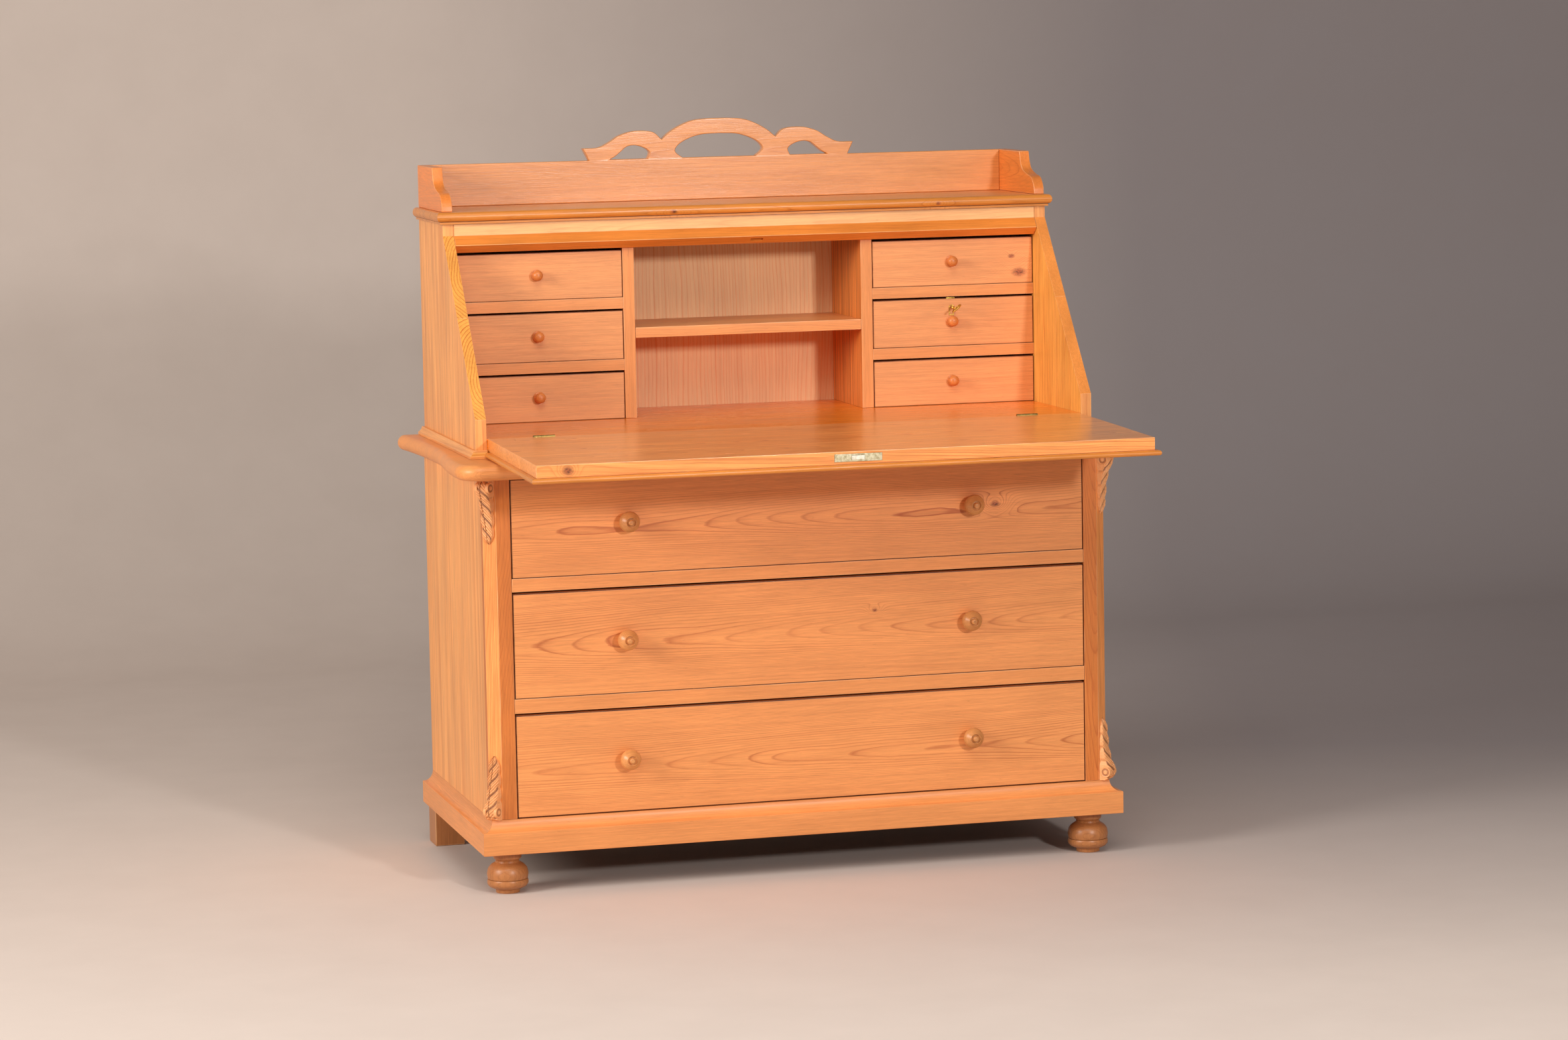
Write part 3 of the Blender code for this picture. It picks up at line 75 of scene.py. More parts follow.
Pair = tuple[float, float]
Triple = tuple[float, float, float]
Shape = bmesh.types.BMesh
Socket = bpy.types.NodeSocket
Material = bpy.types.Material
Cutters = Sequence[bpy.types.Object]
Feed = Union[Socket, float, int, Sequence[float]]


def linear(colour: Triple) -> tuple[float, float, float, float]:
    """Turn a display colour into the linear values that shaders use.

    Args:
        colour: red, green and blue from 0 to 255, as seen on a display.

    Returns:
        Linear red, green, blue and an alpha of 1.
    """
    def channel(value: float) -> float:
        """Return one linear channel."""
        share = value / 255.0
        return share / 12.92 if share <= 0.04045 else ((share + 0.055) / 1.055) ** 2.4

    return channel(colour[0]), channel(colour[1]), channel(colour[2]), 1.0


def at(across: float, depth: float, height: float) -> Vector:
    """Return the place at a distance across, forward of the back, and up."""
    return Vector((across, BACK_Y - depth, height))


def arc(centre: Pair, radii: Pair, start: float, stop: float, steps: int) -> list[Pair]:
    """Run along an arc.

    Args:
        centre: the arc's centre.
        radii: its radius on each axis, negative where that axis is turned round.
        start: the angle at which it starts, in radians.
        stop: the angle at which it stops.
        steps: how many stretches it has.

    Returns:
        The pairs along the arc, with both ends.
    """
    angles = [start + (stop - start) * step / steps for step in range(steps + 1)]
    return [(centre[0] + radii[0] * math.cos(angle), centre[1] + radii[1] * math.sin(angle))
            for angle in angles]


def smooth_line(points: Sequence[Pair], steps: int = 8) -> list[Pair]:
    """Run a smooth curve through points.

    Args:
        points: the pairs that the curve passes through.
        steps: how many stretches stand between two of them.

    Returns:
        The pairs along the curve, with the first and last of the points.
    """
    line = [Vector(point) for point in points]
    padded = [line[0] * 2 - line[1], *line, line[-1] * 2 - line[-2]]
    curve = []
    for i in range(1, len(padded) - 2):
        before, here, after, beyond = padded[i - 1:i + 3]
        for step in range(steps):
            t = step / steps
            place = 0.5 * (2 * here + (after - before) * t
                           + (2 * before - 5 * here + 4 * after - beyond) * t ** 2
                           + (3 * here - before - 3 * after + beyond) * t ** 3)
            curve.append((place.x, place.y))
    return [*curve, (line[-1].x, line[-1].y)]


def scaled(shares: Iterable[Pair], width: float, height: float,
           start: Pair = (0.0, 0.0)) -> list[Pair]:
    """Turn shares into sizes.

    Args:
        shares: pairs of shares.
        width: what the first of each pair is a share of.
        height: what the second is a share of.
        start: the pair that is added to each.

    Returns:
        The pairs in metres.
    """
    return [(start[0] + a * width, start[1] + b * height) for a, b in shares]


def mirrored(line: Sequence[Pair]) -> list[Pair]:
    """Return a half outline with its mirror image after it, about the first value's zero."""
    return [*line, *[(-a, b) for a, b in reversed(line) if abs(a) > 1e-6]]


def shifted_line(line: Sequence[Pair], amount: float) -> list[Pair]:
    """Move an open line sideways, to its right as it runs.

    Args:
        line: the corners of the line on the plan.
        amount: how far it moves.

    Returns:
        The corners of the moved line, whose ends stay square to the back.
    """
    points = [Vector(point) for point in line]
    moved = []
    for index, here in enumerate(points):
        into = (here - points[index - 1]).normalized() if index else None
        out = (points[index + 1] - here).normalized() if index < len(points) - 1 else None
        into, out = into or out, out or into
        normal = Vector((into.y, -into.x)) + Vector((out.y, -out.x))
        normal /= 1 + into.dot(out)
        if index in (0, len(points) - 1):
            normal = Vector((round(normal.x), round(normal.y)))
        place = here + normal * amount
        moved.append((place.x, place.y))
    return moved


def mitred(corners: Sequence[Pair], profile: Sequence[Pair]) -> list[tuple[list[Vector], ...]]:
    """Run a moulding's section along a line with mitred corners.

    Args:
        corners: the line on the plan.
        profile: the section as (run to the line's right, height) pairs.

    Returns:
        For each length of the moulding, the section at its start and at its end.
    """
    ends = [[Vector((*shifted_line(corners, run)[corner], height)) for run, height in profile]
            for corner in range(len(corners))]
    return list(zip(ends, ends[1:]))


def skin(rings: Sequence[Sequence[Sequence[float]]]) -> Shape:
    """Close a form over rings that have the same count of points.

    Args:
        rings: the rings in their order, each a row of places.

    Returns:
        The form, flat at both ends.
    """
    shape = bmesh.new()
    made = [[shape.verts.new(point) for point in ring] for ring in rings]
    shape.faces.new(made[0])
    shape.faces.new(made[-1])
    for lower, upper in zip(made, made[1:]):
        for i in range(len(lower)):
            after = (i + 1) % len(lower)
            shape.faces.new((lower[i], lower[after], upper[after], upper[i]))
    return shape


def block(low: Sequence[float], high: Sequence[float]) -> Shape:
    """Return a block between two opposite corners.

    Args:
        low: its lowest corner.
        high: its highest corner.

    Returns:
        The closed block.
    """
    shape = bmesh.new()
    bmesh.ops.create_cube(shape, size=1.0)
    for vertex in shape.verts:
        vertex.co = Vector([low[i] + (vertex.co[i] + 0.5) * (high[i] - low[i])
                            for i in range(3)])
    return shape


def linked(name: str, data: bpy.types.ID) -> bpy.types.Object:
    """Return a new object that holds the data, linked to the scene."""
    made = bpy.data.objects.new(name, data)
    bpy.context.scene.collection.objects.link(made)
    return made


def worked_out(made: bpy.types.Object) -> bpy.types.Mesh:
    """Return a new mesh of an object with its modifiers or its curve worked out."""
    bpy.context.view_layer.update()
    return bpy.data.meshes.new_from_object(
        made.evaluated_get(bpy.context.evaluated_depsgraph_get()))


def shade_smooth(mesh: bpy.types.Mesh, angle: float) -> None:
    """Shade a mesh smooth, with sharp edges from an angle in degrees on."""
    mesh.polygons.foreach_set("use_smooth", [True] * len(mesh.polygons))
    mesh.set_sharp_from_angle(angle=math.radians(angle))


def dress(node: str, material: Material) -> bpy.types.Mesh:
    """Give a plain node, whose shape is right, its material, and return its mesh."""
    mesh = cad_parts[node].data
    mesh.materials.clear()
    mesh.materials.append(material)
    return mesh


def carve(shape: Shape, cutters: Cutters) -> None:
    """Cut objects out of a shape, in place, and remove them.

    Args:
        shape: the closed shape that is cut.
        cutters: closed objects in the shape's own frame.
    """
    mesh = bpy.data.meshes.new("blank")
    shape.to_mesh(mesh)
    blank = linked("blank", mesh)
    for cutter in cutters:
        step = blank.modifiers.new("cut", "BOOLEAN")
        step.operation = "DIFFERENCE"
        step.solver = "EXACT"
        step.object = cutter
    shaped = worked_out(blank)
    shape.clear()
    shape.from_mesh(shaped)
    for leftover in (blank, *cutters):
        bpy.data.objects.remove(leftover, do_unlink=True)
    for leftover in (mesh, shaped):
        bpy.data.meshes.remove(leftover)


def cutter(shape: Shape, place: Matrix) -> bpy.types.Object:
    """Turn a closed shape into an object to cut with.

    Args:
        shape: the shape, which is freed.
        place: the frame in which it is given.

    Returns:
        The object, linked to the scene.
    """
    shape.transform(place)
    shape.normal_update()
    bmesh.ops.recalc_face_normals(shape, faces=shape.faces)
    mesh = bpy.data.meshes.new("cutter")
    shape.to_mesh(mesh)
    shape.free()
    return linked("cutter", mesh)


class Run(Enum):
    """The way that a board lies: its axes along the grain, across it and through the board."""

    FRONT = (0, 2, 1)
    FLAT = (0, 1, 2)
    UPRIGHT_BACK = (2, 0, 1)
    UPRIGHT_SIDE = (2, 1, 0)
    DEEP_FLAT = (1, 0, 2)
    DEEP_SIDE = (1, 2, 0)


@dataclass(frozen=True)
class Grain:
    """How one board was sawn out of its tree."""

    run: Run
    pith_across: float = 0.0
    pith_depth: float = 0.06
    tilt: float = 0.03
    seed: float = 0.0
    tone: float = 0.0

    def at(self, place: Vector, centre: Vector) -> Triple:
        """Return a place's position in the tree.

        Args:
            place: the place on the board.
            centre: the middle of the board.

        Returns:
            The distance along the stem, and the two distances from the pith.
        """
        along, across, deep = self.run.value
        way = place[along] - centre[along]
        return (way + self.seed * 3.7,
                place[across] - centre[across] - self.pith_across,
                place[deep] - centre[deep] - self.pith_depth + self.tilt * way)


class Timber:
    """A seeded stack of boards, each sawn a little differently."""

    def __init__(self, seed: int) -> None:
        """Start the stack from a number."""
        self.chance = random.Random(seed)
        self.pick = self.chance.uniform

    def flat(self, run: Run, width: float = 0.2) -> Grain:
        """Return a board sawn through the middle of the stem, with arched rings."""
        pick = self.pick
        return Grain(run, pick(-0.22, 0.22) * width, pick(0.022, 0.06) * self.chance.choice((-1, 1)),
                     pick(0.022, 0.05) * self.chance.choice((-1, 1)), pick(0, 40), pick(-1, 1))

    def straight(self, run: Run) -> Grain:
        """Return a board sawn beside the stem's middle, with straight lines."""
        pick = self.pick
        return Grain(run, pick(0.12, 0.22) * self.chance.choice((-1, 1)), pick(-0.04, 0.04),
                     pick(-0.012, 0.012), pick(0, 40), pick(-1, 1))


class Piece:
    """One wooden or metal object, gathered from boards that each keep their own grain."""

    def __init__(self, name: str, node: str = "", body: str = "case") -> None:
        """Start an empty piece with its name, the plain node it stands for and its body."""
        self.name = name
        self.node = node
        self.body = body
        self.vertices: list[Vector] = []
        self.faces: list[list[int]] = []
        self.slots: list[int] = []
        self.eased: list[bool] = []
        self.grain: list[Triple] = []
        self.tone: list[float] = []

    def take(self, shape: Shape, grain: Grain, bevel: float = 0.0, slot: int = 0,
             place: Optional[Matrix] = None, cutters: Cutters = ()) -> None:
        """Add a closed shape to the piece and free it.

        Args:
            shape: the shape, in metres.
            grain: how its wood was sawn, about the shape's own middle.
            bevel: how far its sharp edges are eased.
            slot: which of the piece's materials it shows.
            place: where the shape is moved to after its grain is set.
            cutters: objects in the shape's own frame that are taken away from it.
        """
        shape.normal_update()
        bmesh.ops.recalc_face_normals(shape, faces=shape.faces)
        mark = shape.faces.layers.int.new("eased")
        if bevel:
            sharp = [edge for edge in shape.edges
                     if len(edge.link_faces) == 2 and edge.calc_face_angle(0.0) > math.radians(32)]
            made = bmesh.ops.bevel(shape, geom=sharp, offset=bevel, offset_type="OFFSET",
                                   segments=2, profile=0.5, affect="EDGES", clamp_overlap=True)
            for face in made["faces"]:
                face[mark] = 1
        if cutters:
            carve(shape, cutters)
            mark = shape.faces.layers.int.get("eased") or shape.faces.layers.int.new("eased")
        shape.verts.index_update()
        corners = [vertex.co.copy() for vertex in shape.verts]
        low = Vector([min(co[i] for co in corners) for i in range(3)])
        high = Vector([max(co[i] for co in corners) for i in range(3)])
        centre = (low + high) / 2
        base = len(self.vertices)
        for co in corners:
            self.grain.append(grain.at(co, centre))
            self.tone.append(grain.tone)
            self.vertices.append(place @ co if place else co)
        for face in shape.faces:
            self.faces.append([base + vertex.index for vertex in face.verts])
            self.slots.append(slot)
            self.eased.append(bool(face[mark]))
        shape.free()

    def board(self, low: Sequence[float], high: Sequence[float], grain: Grain,
              bevel: float = 0.0008, slot: int = 0, place: Optional[Matrix] = None,
              cutters: Cutters = ()) -> None:
        """Add a board between two corners in any order; the rest is as in take."""
        self.take(block(Vector([min(a, b) for a, b in zip(low, high)]),
                        Vector([max(a, b) for a, b in zip(low, high)])),
                  grain, bevel, slot, place, cutters)

    def prism(self, outline: Sequence[Pair], axis: int, ends: Sequence[float], grain: Grain,
              bevel: float = 0.0008, slot: int = 0, place: Optional[Matrix] = None,
              cutters: Cutters = ()) -> None:
        """Add a board cut to an outline.

        Args:
            outline: the outline's pairs on the two other axes, in their order.
            axis: the axis that it runs along: 0, 1 or 2.
            ends: where it starts and ends on that axis.
            grain: how it was sawn.
            bevel: how far its sharp edges are eased.
            slot: which material it shows.
            place: where it is moved to.
            cutters: what is taken away from it.
        """
        rings = [[[*pair[:axis], level, *pair[axis:]] for pair in outline] for level in ends]
        self.take(skin(rings), grain, bevel, slot, place, cutters)

    def lathe(self, profile: Sequence[Pair], grain: Grain, place: Matrix, steps: int = 56) -> None:
        """Turn a profile about the vertical, then put it in place.

        Args:
            profile: its (radius, height) pairs.
            grain: how its wood was sawn.
            place: where it is moved to.
            steps: how many flats it has all round.
        """
        turns = [math.tau * (i + 0.5) / steps for i in range(steps)]
        self.take(skin([[(radius * math.cos(turn), radius * math.sin(turn), height)
                         for turn in turns] for radius, height in profile]), grain, 0.0, 0, place)

    def loft(self, rings: Sequence[Sequence[Vector]], grain: Grain, bevel: float = 0.0,
             slot: int = 0, place: Optional[Matrix] = None) -> None:
        """Add a closed form through rings of the same count, flat at both ends."""
        self.take(skin(rings), grain, bevel, slot, place)

    def face_slots(self, facing: Sequence[float], closeness: float, slot: int) -> None:
        """Give the faces that look one way a material of their own.

        Args:
            facing: the way that they look.
            closeness: the least cosine between a face's direction and that way.
            slot: the material slot that they get.
        """
        way = Vector(facing).normalized()
        for i, face in enumerate(self.faces):
            corners = [Vector(self.vertices[k]) for k in face[:3]]
            normal = (corners[1] - corners[0]).cross(corners[2] - corners[0])
            if normal.length > 1e-12 and normal.normalized().dot(way) > closeness:
                self.slots[i] = slot

    def outcome(self, materials: Sequence[Material],
                smooth: float = 40.0) -> None:
        """Make the object, dress it and let it ride with its body.

        Args:
            materials: what its slots show.
            smooth: the angle in degrees below which faces are shaded as one.
        """
        mesh = bpy.data.meshes.new(self.name)
        mesh.from_pydata([tuple(vertex) for vertex in self.vertices], [], self.faces)
        grain = mesh.attributes.new("grain", "FLOAT_VECTOR", "POINT")
        grain.data.foreach_set("vector", [value for row in self.grain for value in row])
        mesh.attributes.new("tone", "FLOAT", "POINT").data.foreach_set("value", self.tone)
        flags = []
        for polygon, eased in zip(mesh.polygons, self.eased):
            flags += [1.0 if eased else 0.0] * polygon.loop_total
        mesh.attributes.new("edge", "FLOAT", "CORNER").data.foreach_set("value", flags)
        for material in materials:
            mesh.materials.append(material)
        mesh.polygons.foreach_set("material_index", self.slots)
        shade_smooth(mesh, smooth)
        mesh.update()
        piece = linked(self.name, mesh)
        normals = piece.modifiers.new("even_normals", "WEIGHTED_NORMAL")
        normals.keep_sharp = True
        normals.weight = 90
        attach(piece, self.body)
        if self.node:
            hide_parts(self.node)


@dataclass(frozen=True)
class Texture:
    """A noise over the wood: how often it changes along and across the grain, and how finely."""

    stretch: Triple
    detail: float = 3.0
    rough: float = 0.6


class Graph:
    """A material's node tree, with short calls for the nodes that the finishes use."""

    def __init__(self, name: str) -> None:
        """Start an empty material."""
        self.material = bpy.data.materials.new(name)
        self.material.use_nodes = True
        self.tree = self.material.node_tree
        self.tree.nodes.clear()
        self.shader = self.node("ShaderNodeBsdfPrincipled")
        self.surface = self.node("ShaderNodeOutputMaterial").inputs["Surface"]
        self.feed(self.surface, self.shader.outputs[0])

    def node(self, kind: str, *values: Feed, **settings: object) -> bpy.types.Node:
        """Add a node.

        Args:
            kind: its type.
            values: what its first inputs get, in their order.
            settings: its properties.

        Returns:
            The node.
        """
        made = self.tree.nodes.new(kind)
        for key, setting in settings.items():
            setattr(made, key, setting)
        for socket, value in zip(made.inputs, values):
            self.feed(socket, value)
        return made

    def feed(self, target: Socket, source: Feed) -> None:
        """Link a socket into another, or set its value."""
        if isinstance(source, bpy.types.NodeSocket):
            self.tree.links.new(source, target)
        else:
            target.default_value = source

    def feed_all(self, node: bpy.types.Node, sources: dict[str, Feed]) -> None:
        """Feed a node's inputs by their names."""
        for name, source in sources.items():
            self.feed(node.inputs[name], source)

    def maths(self, operation: str, *values: Feed, clamp: bool = False) -> Socket:
        """Return the outcome of a sum on numbers."""
        return self.node("ShaderNodeMath", *values, operation=operation,
                         use_clamp=clamp).outputs[0]

    def times(self, *values: Feed) -> Socket:
        """Return the product of two numbers."""
        return self.maths("MULTIPLY", *values)

    def plus(self, *values: Feed) -> Socket:
        """Return the sum of two numbers."""
        return self.maths("ADD", *values)

    def vector(self, operation: str, *values: Feed) -> Socket:
        """Return the outcome of a sum on vectors."""
        made = self.node("ShaderNodeVectorMath", *values, operation=operation)
        return made.outputs["Value" if operation == "LENGTH" else "Vector"]

    def attribute(self, name: str, output: str) -> Socket:
        """Return one of the values that a piece's mesh carries."""
        return self.node("ShaderNodeAttribute", attribute_name=name).outputs[output]

    def noise(self, place: Feed, scale: float, detail: float = 2.0, rough: float = 0.5,
              output: str = "Fac") -> Socket:
        """Return a noise over a place."""
        made = self.node("ShaderNodeTexNoise")
        self.feed_all(made, {"Vector": place, "Scale": scale, "Detail": detail,
                             "Roughness": rough})
        return made.outputs[output]

    def texture(self, place: Socket, look: Texture, output: str = "Fac") -> Socket:
        """Return a noise that is stretched along the grain."""
        return self.noise(self.vector("MULTIPLY", place, look.stretch), 1.0, look.detail,
                          look.rough, output)

    def mix(self, share: Feed, first: Feed, second: Feed, blend: str = "MIX") -> Socket:
        """Return a blend of two colours."""
        made = self.node("ShaderNodeMix", data_type="RGBA", blend_type=blend)
        for socket, source in zip((0, 6, 7), (share, first, second)):
            self.feed(made.inputs[socket], source)
        return made.outputs[2]

    def row(self, share: Feed, stops: Sequence[tuple[float, Triple]]) -> Socket:
        """Return a colour picked from a row of (place, display colour) stops."""
        made = self.node("ShaderNodeValToRGB", share)
        elements = made.color_ramp.elements
        while len(elements) < len(stops):
            elements.new(1.0)
        for element, (place, colour) in zip(elements, stops):
            element.position = place
            element.color = linear(colour)
        return made.outputs[0]

    def curve(self, share: Feed, stops: Sequence[Pair]) -> Socket:
        """Return a grey value from a row of (place, linear value) stops."""
        made = self.row(share, [(place, (0, 0, 0)) for place, _ in stops])
        for element, (_, value) in zip(made.node.color_ramp.elements, stops):
            element.color = (value, value, value, 1.0)
        return made

    def range(self, value: Feed, low: float, high: float, start: float, end: float) -> Socket:
        """Return a number moved from one range to another, without leaving it."""
        return self.node("ShaderNodeMapRange", value, low, high, start, end,
                         clamp=True).outputs[0]

    def bump(self, height: Socket, strength: float, distance: float) -> None:
        """Raise the surface by a height."""
        made = self.node("ShaderNodeBump")
        self.feed_all(made, {"Strength": strength, "Distance": distance, "Height": height})
        self.feed_all(self.shader, {"Normal": made.outputs[0]})


@dataclass(frozen=True)
class Knot:
    """A knot in a board, by its place in the tree and its size."""

    place: Triple
    radius: float = 0.005
    swirl: float = 0.012
    squash: Triple = (0.62, 1.0, 0.35)


@dataclass(frozen=True)
class PineFinish:
    """Waxed pine: early and late wood, rings, fibres, blotches, and eased edges in their own colour:
    pale for wear with a painted highlight, dark on the drawers for painted shade in their gaps.
    """

    name: str
    early: Triple
    late: Triple
    spacing: float = 0.0037
    contrast: float = 0.72
    fibre: float = 0.16
    blotch: float = 0.16
    roughness: float = 0.40
    coat: float = 0.14
    wander: float = 0.010
    # The eased edges' colour: a pale one stands for wear and a painted highlight, the drawers' dark
    # ones for painted shade in their gaps.
    edge: Triple = (252, 200, 150)
    edge_share: float = 0.35
    dirt: float = 0.22
    relief: float = 0.25
    streak: float = 0.10
    fine: float = 240.0
    edge_floor: float = 0.15

    def build(self, label: str = "", knots: Sequence[Knot] = ()) -> Material:
        """Build the material.

        Args:
            label: what is added to the finish's name.
            knots: the knots of the one board that shows this material.

        Returns:
            The material.
        """
        graph = Graph(self.name + label)
        place = graph.attribute("grain", "Vector")
        late, eye = self.late_wood(graph, place, knots)
        colour = graph.mix(graph.maths("MULTIPLY", late, self.contrast, clamp=True),
                           linear(self.early), linear(self.late))
        threads = graph.texture(place, Texture((26.0, 900.0, 900.0), 3.0, 0.65))
        cloud = graph.texture(place, Texture((5.0, 17.0, 17.0)))
        line = graph.texture(place, Texture((self.fine / 90, self.fine, self.fine)))
        colour = graph.mix(graph.range(line, 0.46, 0.70, 0.0, self.streak * 1.8), colour,
                           linear(self.late))
        shade = graph.range(threads, 0.25, 0.75, 1.0 - self.fibre, 1.0 + self.fibre * 0.6)
        # The tone varies the boards at random; on the plinth's cove, the top drawer's front and its
        # knobs it also carries painted shade and highlight.
        for darker in (graph.range(cloud, 0.28, 0.72, 1.0 - self.blotch, 1.0 + self.blotch * 0.5),
                       graph.range(line, 0.30, 0.52, 1.0 + self.streak * 0.5, 1.0),
                       graph.plus(1.0, graph.times(graph.attribute("tone", "Fac"), 0.045))):
            shade = graph.times(shade, darker)
        grey = graph.node("ShaderNodeCombineColor", shade, shade, shade)
        colour = graph.mix(1.0, colour, grey.outputs[0], "MULTIPLY")
        flecks = graph.texture(place, Texture((60.0, 420.0, 420.0), 2.0))
        colour = graph.mix(graph.range(flecks, 0.66, 0.80, 0.0, self.dirt), colour,
                           linear((122, 62, 26)))
        if knots:
            mottle = graph.texture(place, Texture((260.0, 420.0, 420.0), 2.0))
            centre = graph.mix(graph.range(mottle, 0.38, 0.62, 0.0, 1.0), linear((78, 34, 20)),
                               linear((172, 88, 52)))
            colour = graph.mix(graph.times(eye, 0.9), colour, centre)
        # Wear and painted light on the edges: the eased faces take the edge colour, pale for wear with
        # a painted highlight, dark on the drawers for painted shade.
        edge_wear_and_painted_light = graph.texture(place, Texture((18.0, 60.0, 60.0), 2.0))
        edge_wear_and_painted_light = graph.times(graph.range(edge_wear_and_painted_light, 0.35, 0.65, self.edge_floor, 1.0),
                           graph.times(graph.attribute("edge", "Fac"), self.edge_share))
        polish = graph.range(cloud, 0.3, 0.7, self.roughness - 0.03, self.roughness + 0.04)
        graph.feed_all(graph.shader, {
            "Base Color": graph.mix(edge_wear_and_painted_light, colour, linear(self.edge)),
            "Roughness": graph.plus(polish, graph.times(late, -0.05)),
            "Specular IOR Level": 0.34, "Coat Weight": self.coat, "Coat Roughness": 0.28})
        graph.bump(graph.plus(graph.times(late, 0.5), threads), self.relief, 0.0004)
        return graph.material

    def late_wood(self, graph: Graph, place: Socket, knots: Sequence[Knot]) -> tuple[Socket, Feed]:
        """Draw the growth rings and bend them round the knots.

        Args:
            graph: the material's node tree.
            place: the place in the tree.
            knots: the board's knots.

        Returns:
            How much late wood a place shows, and how near it is to a knot's eye.
        """
        drift = graph.texture(place, Texture((2.2, 7.0, 7.0), 2.0, 0.5), "Color")
        drift = graph.vector("MULTIPLY", graph.vector("SUBTRACT", drift, (0.5, 0.5, 0.5)),
                             (0.0, 2.2 * self.wander, 2.2 * self.wander))
        moved = graph.vector("ADD", place, drift)
        reach = graph.vector("LENGTH", graph.vector("MULTIPLY", moved, (0.0, 1.0, 1.0)))
        wobble = graph.texture(place, Texture((9.0, 55.0, 55.0)))
        reach = graph.plus(reach, graph.times(wobble, self.spacing * 0.55))
        eye: Feed = 0.0
        for knot in knots:
            gap = graph.vector("MULTIPLY", graph.vector("SUBTRACT", place, knot.place), knot.squash)
            gap = graph.vector("LENGTH", gap)
            spread = graph.maths("POWER", graph.maths("DIVIDE", gap, knot.swirl * 1.7), 2.0)
            swell = graph.maths("POWER", 2.718, graph.times(spread, -1.0))
            reach = graph.plus(reach, graph.times(swell, knot.swirl * 1.3))
            core = graph.range(gap, knot.radius * 1.25, knot.radius * 0.35, 0.0, 1.0)
            eye = graph.maths("MAXIMUM", eye, core)
        uneven = graph.texture(moved, Texture((0.0, 22.0, 22.0), 1.0, 0.5))
        rings = graph.plus(graph.maths("DIVIDE", reach, self.spacing), graph.times(uneven, 3.0))
        late = graph.curve(graph.maths("FRACT", rings), (
            (0.0, 0.04), (0.55, 0.07), (0.78, 0.34), (0.90, 1.0), (0.96, 0.60), (1.0, 0.04)))
        count = graph.node("ShaderNodeTexWhiteNoise", noise_dimensions="1D")
        graph.feed_all(count, {"W": graph.maths("FLOOR", rings)})
        late = graph.times(late, graph.range(count.outputs["Value"], 0.0, 1.0, 0.42, 1.0))
        patch = graph.texture(place, Texture((1.6, 9.0, 9.0), 3.0, 0.55))
        return graph.times(late, graph.range(patch, 0.30, 0.70, 0.65, 1.25)), eye


@dataclass(frozen=True)
class MetalFinish:
    """Old metal with a patina: a clean colour where hands rub and a dull one elsewhere."""

    name: str
    bright: Triple
    dull: Triple
    roughness: float = 0.34
    scale: float = 160.0

    def build(self) -> Material:
        """Build the material from the object's own coordinates."""
        graph = Graph(self.name)
        place = graph.node("ShaderNodeTexCoord").outputs["Object"]
        patina = graph.noise(place, self.scale, 4.0, 0.65)
        scratch = graph.noise(graph.vector("MULTIPLY", place, (1.0, 1.0, 9.0)), self.scale * 3)
        graph.feed_all(graph.shader, {
            "Base Color": graph.mix(graph.range(patina, 0.35, 0.68, 0.0, 1.0),
                                    linear(self.bright), linear(self.dull)),
            "Roughness": graph.range(patina, 0.3, 0.7, self.roughness, self.roughness + 0.22),
            "Metallic": 1.0})
        graph.bump(graph.plus(patina, graph.times(scratch, 0.4)), 0.25, 0.0003)
        return graph.material


@dataclass(frozen=True)
class CarvedFinish:
    """Carved pine: darker the deeper a place lies in its cuts, paler on its ribs."""

    name: str = "carved_pine"
    high: Triple = (246, 176, 116)
    low: Triple = (112, 56, 28)

    def build(self) -> Material:
        """Build the material from the carving's own depth and the grain."""
        graph = Graph(self.name)
        place = graph.attribute("grain", "Vector")
        depth = graph.attribute("tone", "Fac")
        cut_noise = graph.texture(place, Texture((90.0, 260.0, 260.0), 4.0, 0.7))
        # The colour runs from dark deep in the cuts to pale on the ribs, by the carving's depth and a
        # noise.
        share = graph.range(graph.plus(depth, graph.times(cut_noise, 0.3)), 0.10, 0.85, 0.0, 1.0)
        colour = graph.mix(share, linear(self.low), linear(self.high))
        threads = graph.texture(place, Texture((30.0, 800.0, 800.0)))
        colour = graph.mix(graph.range(threads, 0.4, 0.8, 0.0, 0.30), colour, linear((150, 80, 40)))
        chalk = graph.noise(place, 420.0, 3.0, 0.6)
        graph.feed_all(graph.shader, {
            "Base Color": graph.mix(graph.range(chalk, 0.66, 0.78, 0.0, 0.45), colour,
                                    linear((226, 196, 160))),
            "Roughness": graph.range(cut_noise, 0.3, 0.7, 0.42, 0.62)})
        graph.bump(graph.plus(cut_noise, threads), 0.35, 0.0005)
        return graph.material


